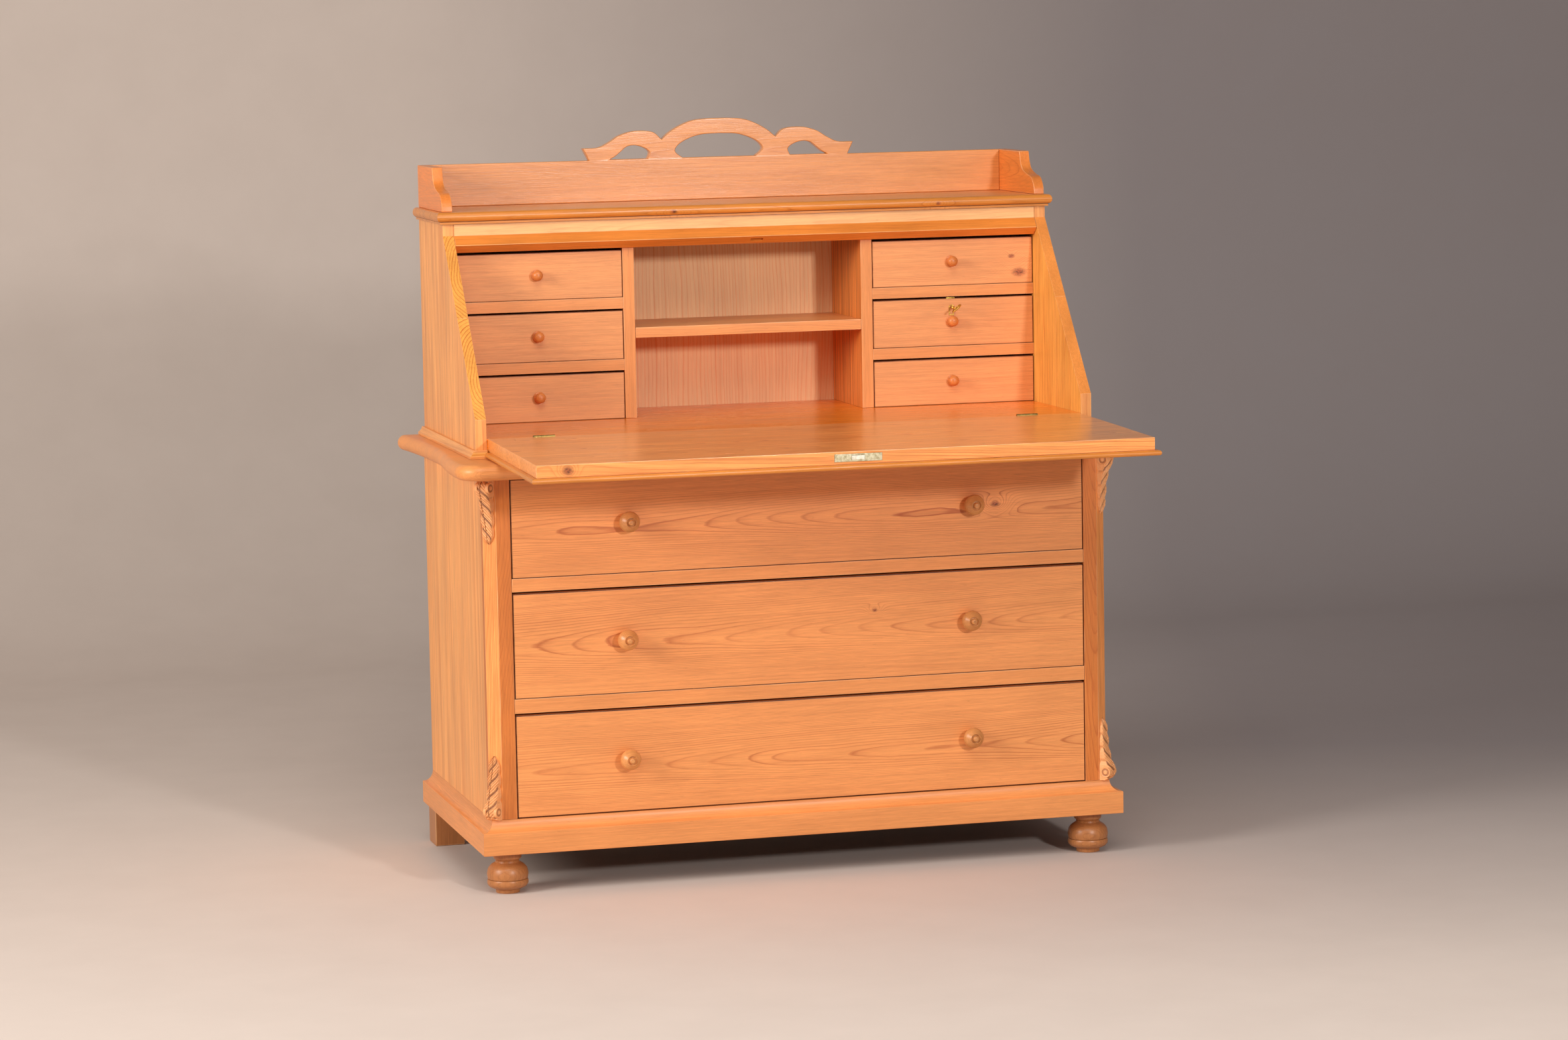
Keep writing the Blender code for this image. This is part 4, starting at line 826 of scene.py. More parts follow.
FINISHES: dict[str, Union[PineFinish, MetalFinish, CarvedFinish]] = {
    # The drawers' dark edge colours are painted shade: they darken the eased edges into the shadowed
    # gaps round the fronts.
    "drawer": PineFinish("drawer_pine", (240, 158, 92), (172, 80, 36), contrast=0.82, blotch=0.09,
                         spacing=0.0017, wander=0.0055, edge=(52, 24, 12), edge_share=1.0,
                         edge_floor=0.85, streak=0.08),
    "small": PineFinish("small_drawer_pine", (235, 160, 100), (196, 104, 54), contrast=0.65,
                        spacing=0.0018, wander=0.006, edge=(96, 46, 22), edge_share=0.9,
                        edge_floor=0.6, blotch=0.10),
    "side": PineFinish("side_pine", (246, 170, 98), (206, 112, 52), contrast=0.48, wander=0.018,
                       spacing=0.012, fibre=0.16, streak=0.28, fine=105.0, blotch=0.14),
    "stile": PineFinish("stile_pine", (214, 124, 54), (174, 79, 28), contrast=0.6, spacing=0.0017),
    "inner_side": PineFinish("inner_side_pine", (243, 178, 86), (196, 110, 38), contrast=0.8,
                             spacing=0.0070, wander=0.012, streak=0.25),
    "cant": PineFinish("canted_pine", (248, 160, 88), (204, 106, 44), contrast=0.7,
                       spacing=0.0030, streak=0.20),
    # A paler copy of the rail's wood for its forward face: a painted highlight.
    "pale": PineFinish("painted_highlight_rail_pine", (252, 188, 124), (228, 146, 84), contrast=0.5,
                       spacing=0.0022),
    # The frame's stronger pale edges are partly wear and partly a painted highlight along the rails'
    # lower edges.
    "frame": PineFinish("frame_pine", (237, 155, 89), (198, 106, 52), contrast=0.45,
                        spacing=0.0019, edge_share=0.6, blotch=0.12),
    # The lid's colours are lighter than the other boards' as painted light: they stand for the light
    # that falls on its top.
    "lid": PineFinish("lid_pine", (255, 170, 94), (196, 96, 38), roughness=0.24, contrast=0.75,
                      coat=0.45, streak=0.26, spacing=0.0022, blotch=0.10),
    # The lip's pale edge colour is partly wear and partly a painted highlight on the bead and on the
    # top board's nose.
    "lip": PineFinish("lip_pine", (222, 138, 58), (174, 90, 30), roughness=0.30,
                      edge=(250, 220, 170), edge_share=0.5, spacing=0.0024, contrast=0.6),
    "bed": PineFinish("bed_pine", (255, 148, 42), (196, 86, 22), roughness=0.26, coat=0.40,
                      streak=0.30, contrast=0.8, spacing=0.0024, blotch=0.10),
    "gallery": PineFinish("gallery_pine", (223, 146, 80), (182, 98, 46), streak=0.14,
                          roughness=0.26, coat=0.5, spacing=0.0024, contrast=0.4, blotch=0.10),
    "bracket": PineFinish("bracket_pine", (240, 138, 62), (190, 92, 34), roughness=0.34,
                          spacing=0.0026, contrast=0.5),
    "slant": PineFinish("slant_pine", (248, 172, 80), (196, 92, 24), contrast=1.15,
                        spacing=0.0048, wander=0.003, edge_share=0.6),
    "smooth": PineFinish("smooth_slant_pine", (240, 148, 70), (214, 118, 46), contrast=0.4,
                         spacing=0.0020, edge_share=0.8),
    "inner": PineFinish("inner_pine", (236, 156, 92), (200, 108, 52), roughness=0.55, coat=0.0,
                        edge_share=0.15, contrast=0.6),
    # A dark finish for faces that look down: painted shade under the top board's nose and beneath the
    # case.
    "underside": PineFinish("painted_shade_underside_pine", (96, 66, 44), (66, 44, 30), roughness=0.75,
                            coat=0.0, dirt=0.5),
    "inner_back": PineFinish("back_pine", (255, 204, 150), (244, 148, 90), contrast=0.9,
                             spacing=0.0066, wander=0.018, roughness=0.5, coat=0.05,
                             edge_share=0.1, blotch=0.06, fibre=0.10, dirt=0.1),
    "rail": PineFinish("rail_pine", (234, 139, 56), (192, 96, 32), roughness=0.33, coat=0.3,
                       streak=0.16, spacing=0.0024, contrast=0.6),
    "turned": PineFinish("turned_pine", (186, 120, 70), (134, 76, 40), contrast=0.6,
                         spacing=0.0024, roughness=0.38, dirt=0.4),
    "knob": PineFinish("knob_pine", (214, 146, 86), (142, 82, 40), contrast=0.75, spacing=0.0015,
                       roughness=0.32, dirt=0.3, fibre=0.14),
    "red_turned": PineFinish("red_turned_pine", (226, 134, 70), (160, 76, 34), contrast=0.5,
                             spacing=0.0022, roughness=0.33),
    "partition": PineFinish("partition_pine", (236, 138, 62), (120, 50, 18), contrast=1.0,
                            spacing=0.0115, wander=0.006, streak=0.25, fine=110.0),
    "brass": MetalFinish("aged_brass", (250, 206, 100), (150, 118, 54)),
    "hinge_brass": MetalFinish("dull_hinge_brass", (206, 176, 104), (128, 104, 62)),
    "nickel": MetalFinish("pale_lock_metal", (222, 214, 184), (164, 150, 112)),
    "bright": MetalFinish("bright_bolt_metal", (250, 246, 232), (214, 204, 180), 0.30),
    "carved": CarvedFinish(),
}


class Finishes:
    """The desk's materials, each made on its first use and shared by the pieces that show it."""

    def __init__(self) -> None:
        """Start without any material."""
        self.made: dict[str, Material] = {}

    def get(self, name: str) -> Material:
        """Return a finish's material."""
        if name not in self.made:
            self.made[name] = FINISHES[name].build()
        return self.made[name]


@dataclass
class Assembly:
    """A part of the desk, built out of a stack of boards and the desk's finishes."""

    timber: Timber
    finishes: Finishes

    def build(self) -> None:
        """Build the part's pieces."""
        raise NotImplementedError

    def looks(self, *names: str) -> list[Material]:
        """Return the materials of some finishes."""
        return [self.finishes.get(name) for name in names]


@dataclass
class Plinth(Assembly):
    """The coved plinth with its mitred corners, rear rail and corner blocks."""

    face: float = 0.039
    cove_height: float = 0.019
    cove_run: float = 0.016
    quirk: float = 0.003
    ease: float = 0.0007
    ledge: float = 0.020
    block: float = 0.080
    block_inset: float = 0.012
    block_gap: float = 0.0004
    foot_height: float = 0.073
    mitre_gap: float = 0.00012

    def profile(self) -> list[Pair]:
        """Return the moulding's section as (run, height) pairs."""
        low = self.foot_height
        outer = self.cove_run + self.quirk
        top = low + self.face
        brow = top + self.cove_height
        ease = self.ease
        cove = arc((self.cove_run, brow), (self.cove_run, -self.cove_height), QUARTER, math.pi, 10)
        return [(-self.ledge, low), (outer - ease, low), (outer, low + ease), (outer, top - ease),
                (outer - ease, top), *cove[:-1], (0.0, brow - ease), (-ease, brow),
                (-self.ledge, brow)]

    def build(self) -> None:
        """Build the three mitred lengths, the rear rail and the four corner blocks."""
        timber = self.timber
        piece = Piece("plinth_boards", "plinth")
        front = BACK_Y - CASE_DEPTH
        corners = [(-CASE_HALF, BACK_Y), (-CASE_HALF, front), (CASE_HALF, front),
                   (CASE_HALF, BACK_Y)]
        runs = (Run.DEEP_SIDE, Run.FRONT, Run.DEEP_SIDE)
        for (start, end), run in zip(mitred(corners, self.profile()), runs):
            way = (end[0] - start[0]).normalized() * self.mitre_gap
            piece.loft([[point + way for point in start], [point - way for point in end]],
                       timber.straight(run))
        top = self.foot_height + self.face
        # Painted shade and highlight in the cove: the tone darkens its upper part and lightens its
        # lower edge, as light from above would fall on it.
        for i, point in enumerate(piece.vertices):
            if point.z > top - 2 * HAIR:
                piece.tone[i] = 2.0 - 3.6 * (point.z - top) / self.cove_height
        block_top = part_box("base_board")[0].z - TOUCH
        piece.board(at(-CASE_HALF + self.ledge, 0.0, self.foot_height),
                    at(CASE_HALF - self.ledge, self.ledge, block_top), timber.flat(Run.FRONT, 0.05))
        reach = self.cove_run + self.quirk - self.block_inset - self.block
        behind = self.ledge + self.block_gap
        depths = ((behind, self.block), (CASE_DEPTH + reach, CASE_DEPTH - behind))
        for side, _ in SIDES:
            for near, far in depths:
                piece.board(at(side * (CASE_HALF - behind), near, self.foot_height + 0.0005),
                            at(side * (CASE_HALF + reach), far, block_top - 0.0005),
                            timber.straight(Run.DEEP_FLAT), 0.001)
        piece.outcome(self.looks("frame"))
        LOG.info("plinth: three mitred lengths, a rear rail and four corner blocks")


@dataclass
class Feet(Assembly):
    """Two turned feet in front and two square ones behind."""

    radius: float = 0.0357
    height: float = 0.073
    spigot: float = 0.010
    shoulder: float = 0.0004
    shares: tuple[Pair, ...] = (
        (0.545, 0.0), (0.574, 0.006), (0.588, 0.082), (0.686, 0.103), (0.896, 0.151),
        (0.975, 0.20), (1.0, 0.246), (0.985, 0.30), (0.966, 0.323), (0.910, 0.333),
        (0.966, 0.342), (0.99, 0.40), (1.0, 0.466), (0.952, 0.575), (0.87, 0.63), (0.784, 0.671),
        (0.66, 0.705), (0.602, 0.726), (0.569, 0.767), (0.60, 0.795), (0.658, 0.815),
        (0.686, 0.849), (0.686, 0.985), (0.670, 0.9959))

    def build(self) -> None:
        """Build the four feet."""
        profile = scaled(self.shares, self.radius, self.height)
        for _, word in SIDES:
            low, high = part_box(f"bun_foot_{word}")
            bun = Piece(f"bun_foot_{word}_turning", f"bun_foot_{word}")
            bun.lathe([*profile, (self.spigot, self.height - self.shoulder), (self.spigot, high.z)],
                      Grain(Run.UPRIGHT_BACK, 0.012, 0.03, 0.02, self.timber.pick(0, 9)),
                      Matrix.Translation(((low.x + high.x) / 2, (low.y + high.y) / 2, 0.0)), 64)
            bun.outcome(self.looks("turned"), 30.0)
            foot = Piece(f"block_foot_{word}_block", f"block_foot_{word}")
            foot.board(*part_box(f"block_foot_{word}"), self.timber.straight(Run.UPRIGHT_BACK),
                       0.0022)
            foot.outcome(self.looks("turned"))
        LOG.info("feet: two turned, two square")


@dataclass
class LowerCase(Assembly):
    """The lower case: glued sides, canted posts, drawer frames, base and back boards."""

    post_depth: float = 0.035
    post_inner: float = 0.5125
    rail_depth: float = 0.060
    runner: float = 0.070
    guide: float = 0.020
    rebate: float = 0.0175
    side_boards: tuple[float, ...] = (0.0, 0.118, 0.262, 0.391, 0.5057)
    back_joints: tuple[float, ...] = (-0.365, -0.212, 0.212, 0.365)
    base_boards: tuple[float, ...] = (0.0, 0.17, 0.345)

    @property
    def post_back(self) -> float:
        """Depth up to which the boards behind the corner posts reach."""
        return CASE_DEPTH - self.post_depth - 2 * TOUCH

    def build(self) -> None:
        """Build the lower case."""
        self.build_sides()
        self.build_back()
        for word in ("lower", "upper"):
            low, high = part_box(f"drawer_frame_{word}")
            self.build_frame(f"drawer_frame_{word}", low.z, high.z - self.guide)
        self.build_base()
        LOG.info("lower case: sides, posts, two drawer frames, base and back")

    def build_sides(self) -> None:
        """Build the glued sides and the canted corner posts."""
        for side, word in SIDES:
            low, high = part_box(f"carcass_side_{word}")
            panel = Piece(f"carcass_side_{word}_boards", f"carcass_side_{word}")
            for start, end in zip(self.side_boards, self.side_boards[1:]):
                grain = self.timber.straight(Run.UPRIGHT_SIDE)
                panel.board(at(side * CASE_INNER, max(start, self.rebate), low.z),
                            at(side * CASE_HALF, end, high.z), grain, 0.0003)
                if start < self.rebate:
                    panel.board(at(side * (CASE_HALF - TONGUE), 0.0, low.z),
                                at(side * CASE_HALF, self.rebate - HALF_HAIR, high.z),
                                grain, 0.0005)
            panel.outcome(self.looks("side"))
            corner = [(self.post_inner, CASE_DEPTH), (CASE_HALF - CANT, CASE_DEPTH),
                      (CASE_HALF, CASE_DEPTH - CANT), (CASE_HALF, CASE_DEPTH - self.post_depth),
                      (self.post_inner, CASE_DEPTH - self.post_depth)]
            post = Piece(f"corner_post_{word}_board", f"corner_post_{word}")
            post.prism([(side * across, BACK_Y - deep) for across, deep in corner], 2,
                       (low.z, high.z), Grain(Run.UPRIGHT_BACK, side * 0.006, 0.034, 0.034,
                                              self.timber.pick(0, 9), 0.4), 0.0009)
            post.face_slots((side, -1.0, 0.0), 0.95, 1)
            post.outcome(self.looks("stile", "cant"))

    def build_back(self) -> None:
        """Build the back out of upright boards with fine gaps between them."""
        low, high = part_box("back_panel")
        back = Piece("back_boards", "back_panel")
        stops = (low.x, *self.back_joints, high.x)
        pick = self.timber.pick
        for left, right in zip(stops, stops[1:]):
            grain = Grain(Run.UPRIGHT_BACK, pick(0.26, 0.34), pick(-0.04, 0.04), 0.01, pick(0, 30))
            back.board((left + 2 * HAIR, low.y, low.z), (right - 2 * HAIR, high.y, high.z),
                       grain, 0.0009)
        back.outcome(self.looks("inner_back"))

    def build_frame(self, node: str, low: float, high: float) -> None:
        """Build one drawer frame: the rail that shows, runners, rear rail and guides.

        Args:
            node: the plain node that the frame stands for.
            low: the height of its underside.
            high: the height of the face that a drawer runs on.
        """
        boards = Piece(f"{node}_boards", node)
        timber = self.timber
        reach = CASE_INNER - TOUCH
        rear = self.rebate + TOUCH
        inner = CASE_DEPTH - self.rail_depth
        narrow = self.post_inner - TOUCH
        half = [(narrow, CASE_DEPTH), (narrow, self.post_back), (reach, self.post_back),
                (reach, inner)]
        rail = [(-x, deep) for x, deep in half] + half[::-1]
        boards.prism([(x, BACK_Y - deep) for x, deep in rail], 2, (low, high),
                     timber.straight(Run.FRONT), 0.0009)
        boards.board(at(-reach, rear, low), at(reach, rear + self.rail_depth, high),
                     timber.flat(Run.FLAT, 0.06), 0.0006, 1)
        for side, _ in SIDES:
            boards.board(at(side * reach, rear + self.rail_depth + HAIR, low),
                         at(side * (reach - self.runner), inner - HAIR, high),
                         timber.flat(Run.DEEP_FLAT, 0.07), 0.0006, 1)
            boards.board(at(side * self.post_inner, rear, high - HAIR),
                         at(side * reach, self.post_back, high + self.guide),
                         timber.flat(Run.DEEP_FLAT, 0.02), 0.0009, 1)
        boards.outcome(self.looks("frame", "inner"))

    def build_base(self) -> None:
        """Build the base out of boards that run across, with its two guides."""
        low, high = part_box("base_board")
        top = high.z - self.guide
        base = Piece("base_boards", "base_board")
        timber = self.timber
        narrow = self.post_inner - TOUCH
        stop = self.post_back
        starts = [self.base_boards[0], *[start + HAIR for start in self.base_boards[1:]]]
        for start, end in zip(starts, (*self.base_boards[1:], stop - HAIR)):
            base.board(at(-high.x, start, low.z), at(high.x, end, top),
                       timber.flat(Run.FLAT, 0.15), 0.0004)
        base.board(at(-narrow, stop, low.z), at(narrow, BACK_Y - low.y, top),
                   timber.flat(Run.FRONT, 0.04), 0.0008)
        for side, _ in SIDES:
            base.board(at(side * self.post_inner, self.rebate + TOUCH, top - HAIR),
                       at(side * high.x, stop, high.z), timber.flat(Run.DEEP_FLAT, 0.02), 0.0009, 1)
        # Painted shade: the faces that look down take the dark underside finish.
        base.face_slots(DOWN, 0.9, 2)
        base.outcome(self.looks("frame", "inner", "underside"))


@dataclass
class WaistBoard(Assembly):
    """The wide board between the two cases, with swelling ends and a rounded edge."""

    back_overhang: float = 0.0474
    narrow_overhang: float = 0.034
    wide_overhang: float = 0.0496
    narrow_depth: float = 0.270
    wide_depth: float = 0.510
    corner_radius: float = 0.045
    front: float = 0.587
    end_steps: int = 18
    corner_steps: int = 12
    nose_steps: int = 12
    shortest: float = 0.002

    def overhang(self, depth: float) -> float:
        """Work out how far the end stands out.

        Args:
            depth: the depth at which it is asked.

        Returns:
            The overhang: it narrows from the back, then swells towards the front.
        """
        if depth < self.narrow_depth:
            share = (1 - depth / self.narrow_depth) ** 2
            return self.narrow_overhang + (self.back_overhang - self.narrow_overhang) * share
        way = (depth - self.narrow_depth) / (self.wide_depth - self.narrow_depth)
        share = (1 - math.cos(math.pi * way)) / 2
        return self.narrow_overhang + (self.wide_overhang - self.narrow_overhang) * share

    def edge(self) -> list[Pair]:
        """Return the board's edge on the plan, from the right back corner to the left."""
        depths = [self.wide_depth * i / self.end_steps for i in range(self.end_steps + 1)]
        half = [(CASE_HALF + self.overhang(depth), depth) for depth in depths]
        half += arc((CASE_HALF + self.wide_overhang - self.corner_radius,
                     self.front - self.corner_radius),
                    (self.corner_radius, self.corner_radius), 0.0, QUARTER, self.corner_steps)
        half = [half[0]] + [b for a, b in zip(half, half[1:]) if math.dist(a, b) > self.shortest]
        return [(x, BACK_Y - d) for x, d in half + [(-x, d) for x, d in reversed(half)]]

    def build(self) -> None:
        """Build the board out of levels that follow its rounded edge."""
        low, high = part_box("waist_board")
        half = (high.z - low.z) / 2
        levels = arc((half, (low.z + high.z) / 2), (-half, half), -QUARTER, QUARTER,
                     self.nose_steps)
        line = self.edge()[::-1]
        board = Piece("waist_board_wood", "waist_board")
        board.loft([[Vector((x, y, height)) for x, y in shifted_line(line, -inset)]
                    for inset, height in levels], Grain(Run.FLAT, 0.05, 0.055, 0.03, 12.0, 0.2))
        board.outcome(self.looks("frame"), smooth=35.0)
        LOG.info("waist board: %.0f mm across", 1000 * (high.x - low.x))


@dataclass
class Corbel(Assembly):
    """One carved corbel: a scroll with a volute on each cheek and a ribbed leaf."""

    word: str
    side: int
    above: bool
    width: float = 0.0245
    projection: float = 0.0225
    cut_depth: float = 0.0034
    lobes: float = 4.6
    across_steps: int = 56
    long_steps: int = 260
    eye_share: Pair = (0.52, 0.135)
    groove_radii: Pair = (0.0036, 0.0072)
    shares: tuple[Triple, ...] = (
        (0.0, 0.50, 1.0), (0.03, 0.76, 1.0), (0.08, 0.96, 1.0), (0.14, 1.0, 1.0),
        (0.20, 0.97, 1.0), (0.28, 0.80, 0.98), (0.38, 0.60, 0.95), (0.50, 0.47, 0.92),
        (0.62, 0.40, 0.92), (0.74, 0.36, 0.88), (0.86, 0.31, 0.80), (0.94, 0.25, 0.60),
        (1.0, 0.08, 0.20))
    rim: tuple[Pair, ...] = (
        (0.0098, -0.0040), (0.0098, -0.0004), (0.0092, 0.0012), (0.0078, 0.0014),
        (0.0068, 0.0004), (0.0040, 0.0005), (0.0030, 0.0021))

    def section(self, share: float) -> Pair:
        """Work out the corbel's section.

        Args:
            share: the share of the length from the scroll.

        Returns:
            The projection and the width.
        """
        rows = self.shares
        for before, after in zip(rows, rows[1:]):
            if share <= after[0]:
                way = (share - before[0]) / (after[0] - before[0])
                way = way * way * (3 - 2 * way)
                return (self.projection * (before[1] + (after[1] - before[1]) * way),
                        self.width * (before[2] + (after[2] - before[2]) * way))
        return self.projection * rows[-1][1], self.width * rows[-1][2]

    def lobe(self, share: float, front: float) -> float:
        """Return how near a place is to the cleft between two lobes of the leaf."""
        return 0.5 + 0.5 * math.cos(math.tau * (share * self.lobes - front * 0.5 + 0.1))

    def carving(self, share: float, way: float) -> float:
        """Return how deep the knife went, from 0 on a rib to 1 in a cut.

        Args:
            share: the share of the length from the scroll.
            way: the place across, from -1 to 1.

        Returns:
            The depth of the cut.
        """
        front = -self.side * way
        ribs = (0.5 + 0.5 * math.cos(math.tau * (share * 19.0 - front * 2.1))) ** 1.4
        lobes = self.lobe(share, front) ** 5
        stem = front + 0.30 - 0.16 * math.sin(math.tau * (share * 1.3 + 0.15))
        groove = math.exp(-(stem / 0.075) ** 2)
        leaf = min(1.0, share / 0.05)
        return leaf * min(1.0, max(0.62 * ribs + 0.25 * lobes, lobes, groove))

    def point(self, share: float, t: float) -> tuple[float, float, float]:
        """Carve one point of the scroll and the leaf.

        Args:
            share: the share of the length from the scroll.
            t: the place across, from -1 to 1.

        Returns:
            The place across, the projection, and how far the point stands out of the cuts, from 0 deep
            in a cut to 1 on a rib.
        """
        out, wide = self.section(share)
        reach = math.copysign(1 - (1 - min(1.0, abs(t) * 1.55)) ** 1.35, t)
        flank = max(0.0, (abs(t) - 0.58) / 0.42)
        forward = out * (1 - 0.10 * min(1.0, abs(t) / 0.6) ** 3) * (1 - flank ** 1.2)
        cut = self.carving(share, t / 0.62) * (1 - min(1.0, flank * 2.5))
        cheek = 0.5 * self.carving(share, 0.8) * min(1.0, flank * 4) * (flank < 0.9)
        forward -= self.cut_depth * cut
        notch = self.lobe(share, -self.side * math.copysign(1.0, t))
        jag = 1 - 0.16 * notch ** 3 * min(1.0, max(0.0, (share - 0.2) / 0.1))
        return wide / 2 * reach * jag * (1 - 0.05 * cheek), max(forward, 0.0), 1.0 - max(cut, cheek)

    def build(self) -> None:
        """Carve the corbel and put it on its canted corner."""
        node = f"corbel_{'upper' if self.above else 'lower'}_{self.word}"
        low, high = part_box(node)
        scroll, way = (high.z, -1) if self.above else (low.z, 1)
        length = way * (high.z - low.z)
        middle = at(self.side * (CASE_HALF - CANT / 2), CASE_DEPTH - CANT / 2, scroll)
        turn = Matrix.Translation(middle + Vector((self.side, -1.0, 0.0)).normalized() * TOUCH) \
            @ Matrix.Rotation(self.side * math.pi / 4, 4, "Z")
        rings = []
        depths = []
        for i in range(self.long_steps + 1):
            share = i / self.long_steps
            row = [self.point(share, -1 + 2 * j / self.across_steps)
                   for j in range(self.across_steps + 1)]
            rings.append([(across, -forward, share * length) for across, forward, _ in row])
            depths += [raised for _, _, raised in row]
        corbel = Piece(f"{node}_carving", node)
        corbel.take(skin(rings), Grain(Run.UPRIGHT_BACK, 0.02, 0.03, 0.01, self.timber.pick(0, 9)),
                    place=turn)
        corbel.tone = depths
        eye = turn @ Matrix.Translation((0.0, -self.projection * self.eye_share[0],
                                         length * self.eye_share[1])) \
            @ Matrix.Rotation(QUARTER, 4, "Y")
        start = len(corbel.vertices)
        for cheek, _ in SIDES:
            corbel.lathe([(radius, cheek * (self.width / 2 + height)) for radius, height in self.rim],
                         Grain(Run.UPRIGHT_BACK), eye, 40)
        inner, outer = self.groove_radii
        for k in range(start, len(corbel.vertices)):
            place = eye.inverted() @ corbel.vertices[k]
            corbel.tone[k] = 0.25 if inner < math.hypot(place.x, place.y) < outer else 0.95
        corbel.outcome(self.looks("carved"), 60.0)


@dataclass
class Slope:
    """Where the fall front turns, rests and shuts, worked out from the plain model."""

    angle: float = math.radians(50.72)
    droop: float = math.radians(1.1)
    hinge_depth: float = 0.4693
    body: float = 0.0215
    lip: float = 0.009
    lip_overhang: float = 0.009
    rail_face: float = 0.0203
    rail_thickness: float = 0.026
    landing: float = 0.022
    end_gap: float = 0.0015
    lock_centre: float = 0.012
    bed_top: float = field(default_factory=lambda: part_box("writing_bed")[1].z)
    upper_top: float = field(default_factory=lambda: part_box("top_board")[0].z)

    @property
    def corner_top(self) -> float:
        """Height at which the slanted edge starts."""
        return self.bed_top + (self.body - TOUCH) / math.cos(self.angle)

    @property
    def slant_top(self) -> float:
        """Height at which the slanted edge ends."""
        return self.upper_top - self.rail_face

    @property
    def top_depth(self) -> float:
        """Depth of the upper case at its top."""
        return self.hinge_depth - (self.slant_top - self.corner_top) / math.tan(self.angle)

    @property
    def length(self) -> float:
        """Length of the fall front's body from the hinge line."""
        run = self.hinge_depth - self.top_depth
        reach = run * math.cos(self.angle) + (self.slant_top - self.bed_top) * math.sin(self.angle)
        return reach - self.landing - self.end_gap

    @property
    def pivot(self) -> Matrix:
        """The frame of the hinge line, with its axes along the desk's own."""
        return Matrix.Translation(at(0.0, self.hinge_depth, self.bed_top))

    @property
    def lid_place(self) -> Matrix:
        """The fall front's own frame while it is open."""
        return self.pivot @ Matrix.Rotation(self.droop, 4, "X")

    @property
    def shut_place(self) -> Matrix:
        """The fall front's own frame while it is shut."""
        return self.pivot @ Matrix.Rotation(self.angle - math.pi, 4, "X")


@dataclass
class Hinges:
    """Two butt hinges let into the joint between the bed and the fall front."""

    spread: float = 0.435
    length: float = 0.038
    barrel: float = 0.0034
    drop: float = 0.0163
    leaf: float = 0.0022
    other_leaf: float = 0.002

    def recesses(self, place: Matrix, direction: int) -> list[bpy.types.Object]:
        """Return the cutters for one board's hinge recesses.

        Args:
            place: the frame of the board, on the hinge line.
            direction: 1 for the bed and -1 for the fall front.

        Returns:
            One prism for each hinge, with room for its leaf and its barrel.
        """
        outline = [(direction * self.leaf, -self.drop),
                   *arc((0.0, 0.0), (direction * self.barrel, self.barrel),
                        -math.acos(self.leaf / self.barrel),
                        math.pi + math.acos(self.other_leaf / self.barrel), 18),
                   (-direction * self.other_leaf, -self.drop)]
        half = self.length / 2 + TOUCH
        return [cutter(skin([[(side * self.spread + end, *pair) for pair in outline]
                             for end in (-half, half)]), place) for side, _ in SIDES]

    def build(self, finishes: Finishes) -> None:
        """Dress the plain leaves, whose shapes are right."""
        for _, word in SIDES:
            for part in ("bed_leaf", "lid_leaf"):
                dress(f"hinge_{word}_{part}", finishes.get("hinge_brass"))
        LOG.info("hinges: two pairs of brass leaves")


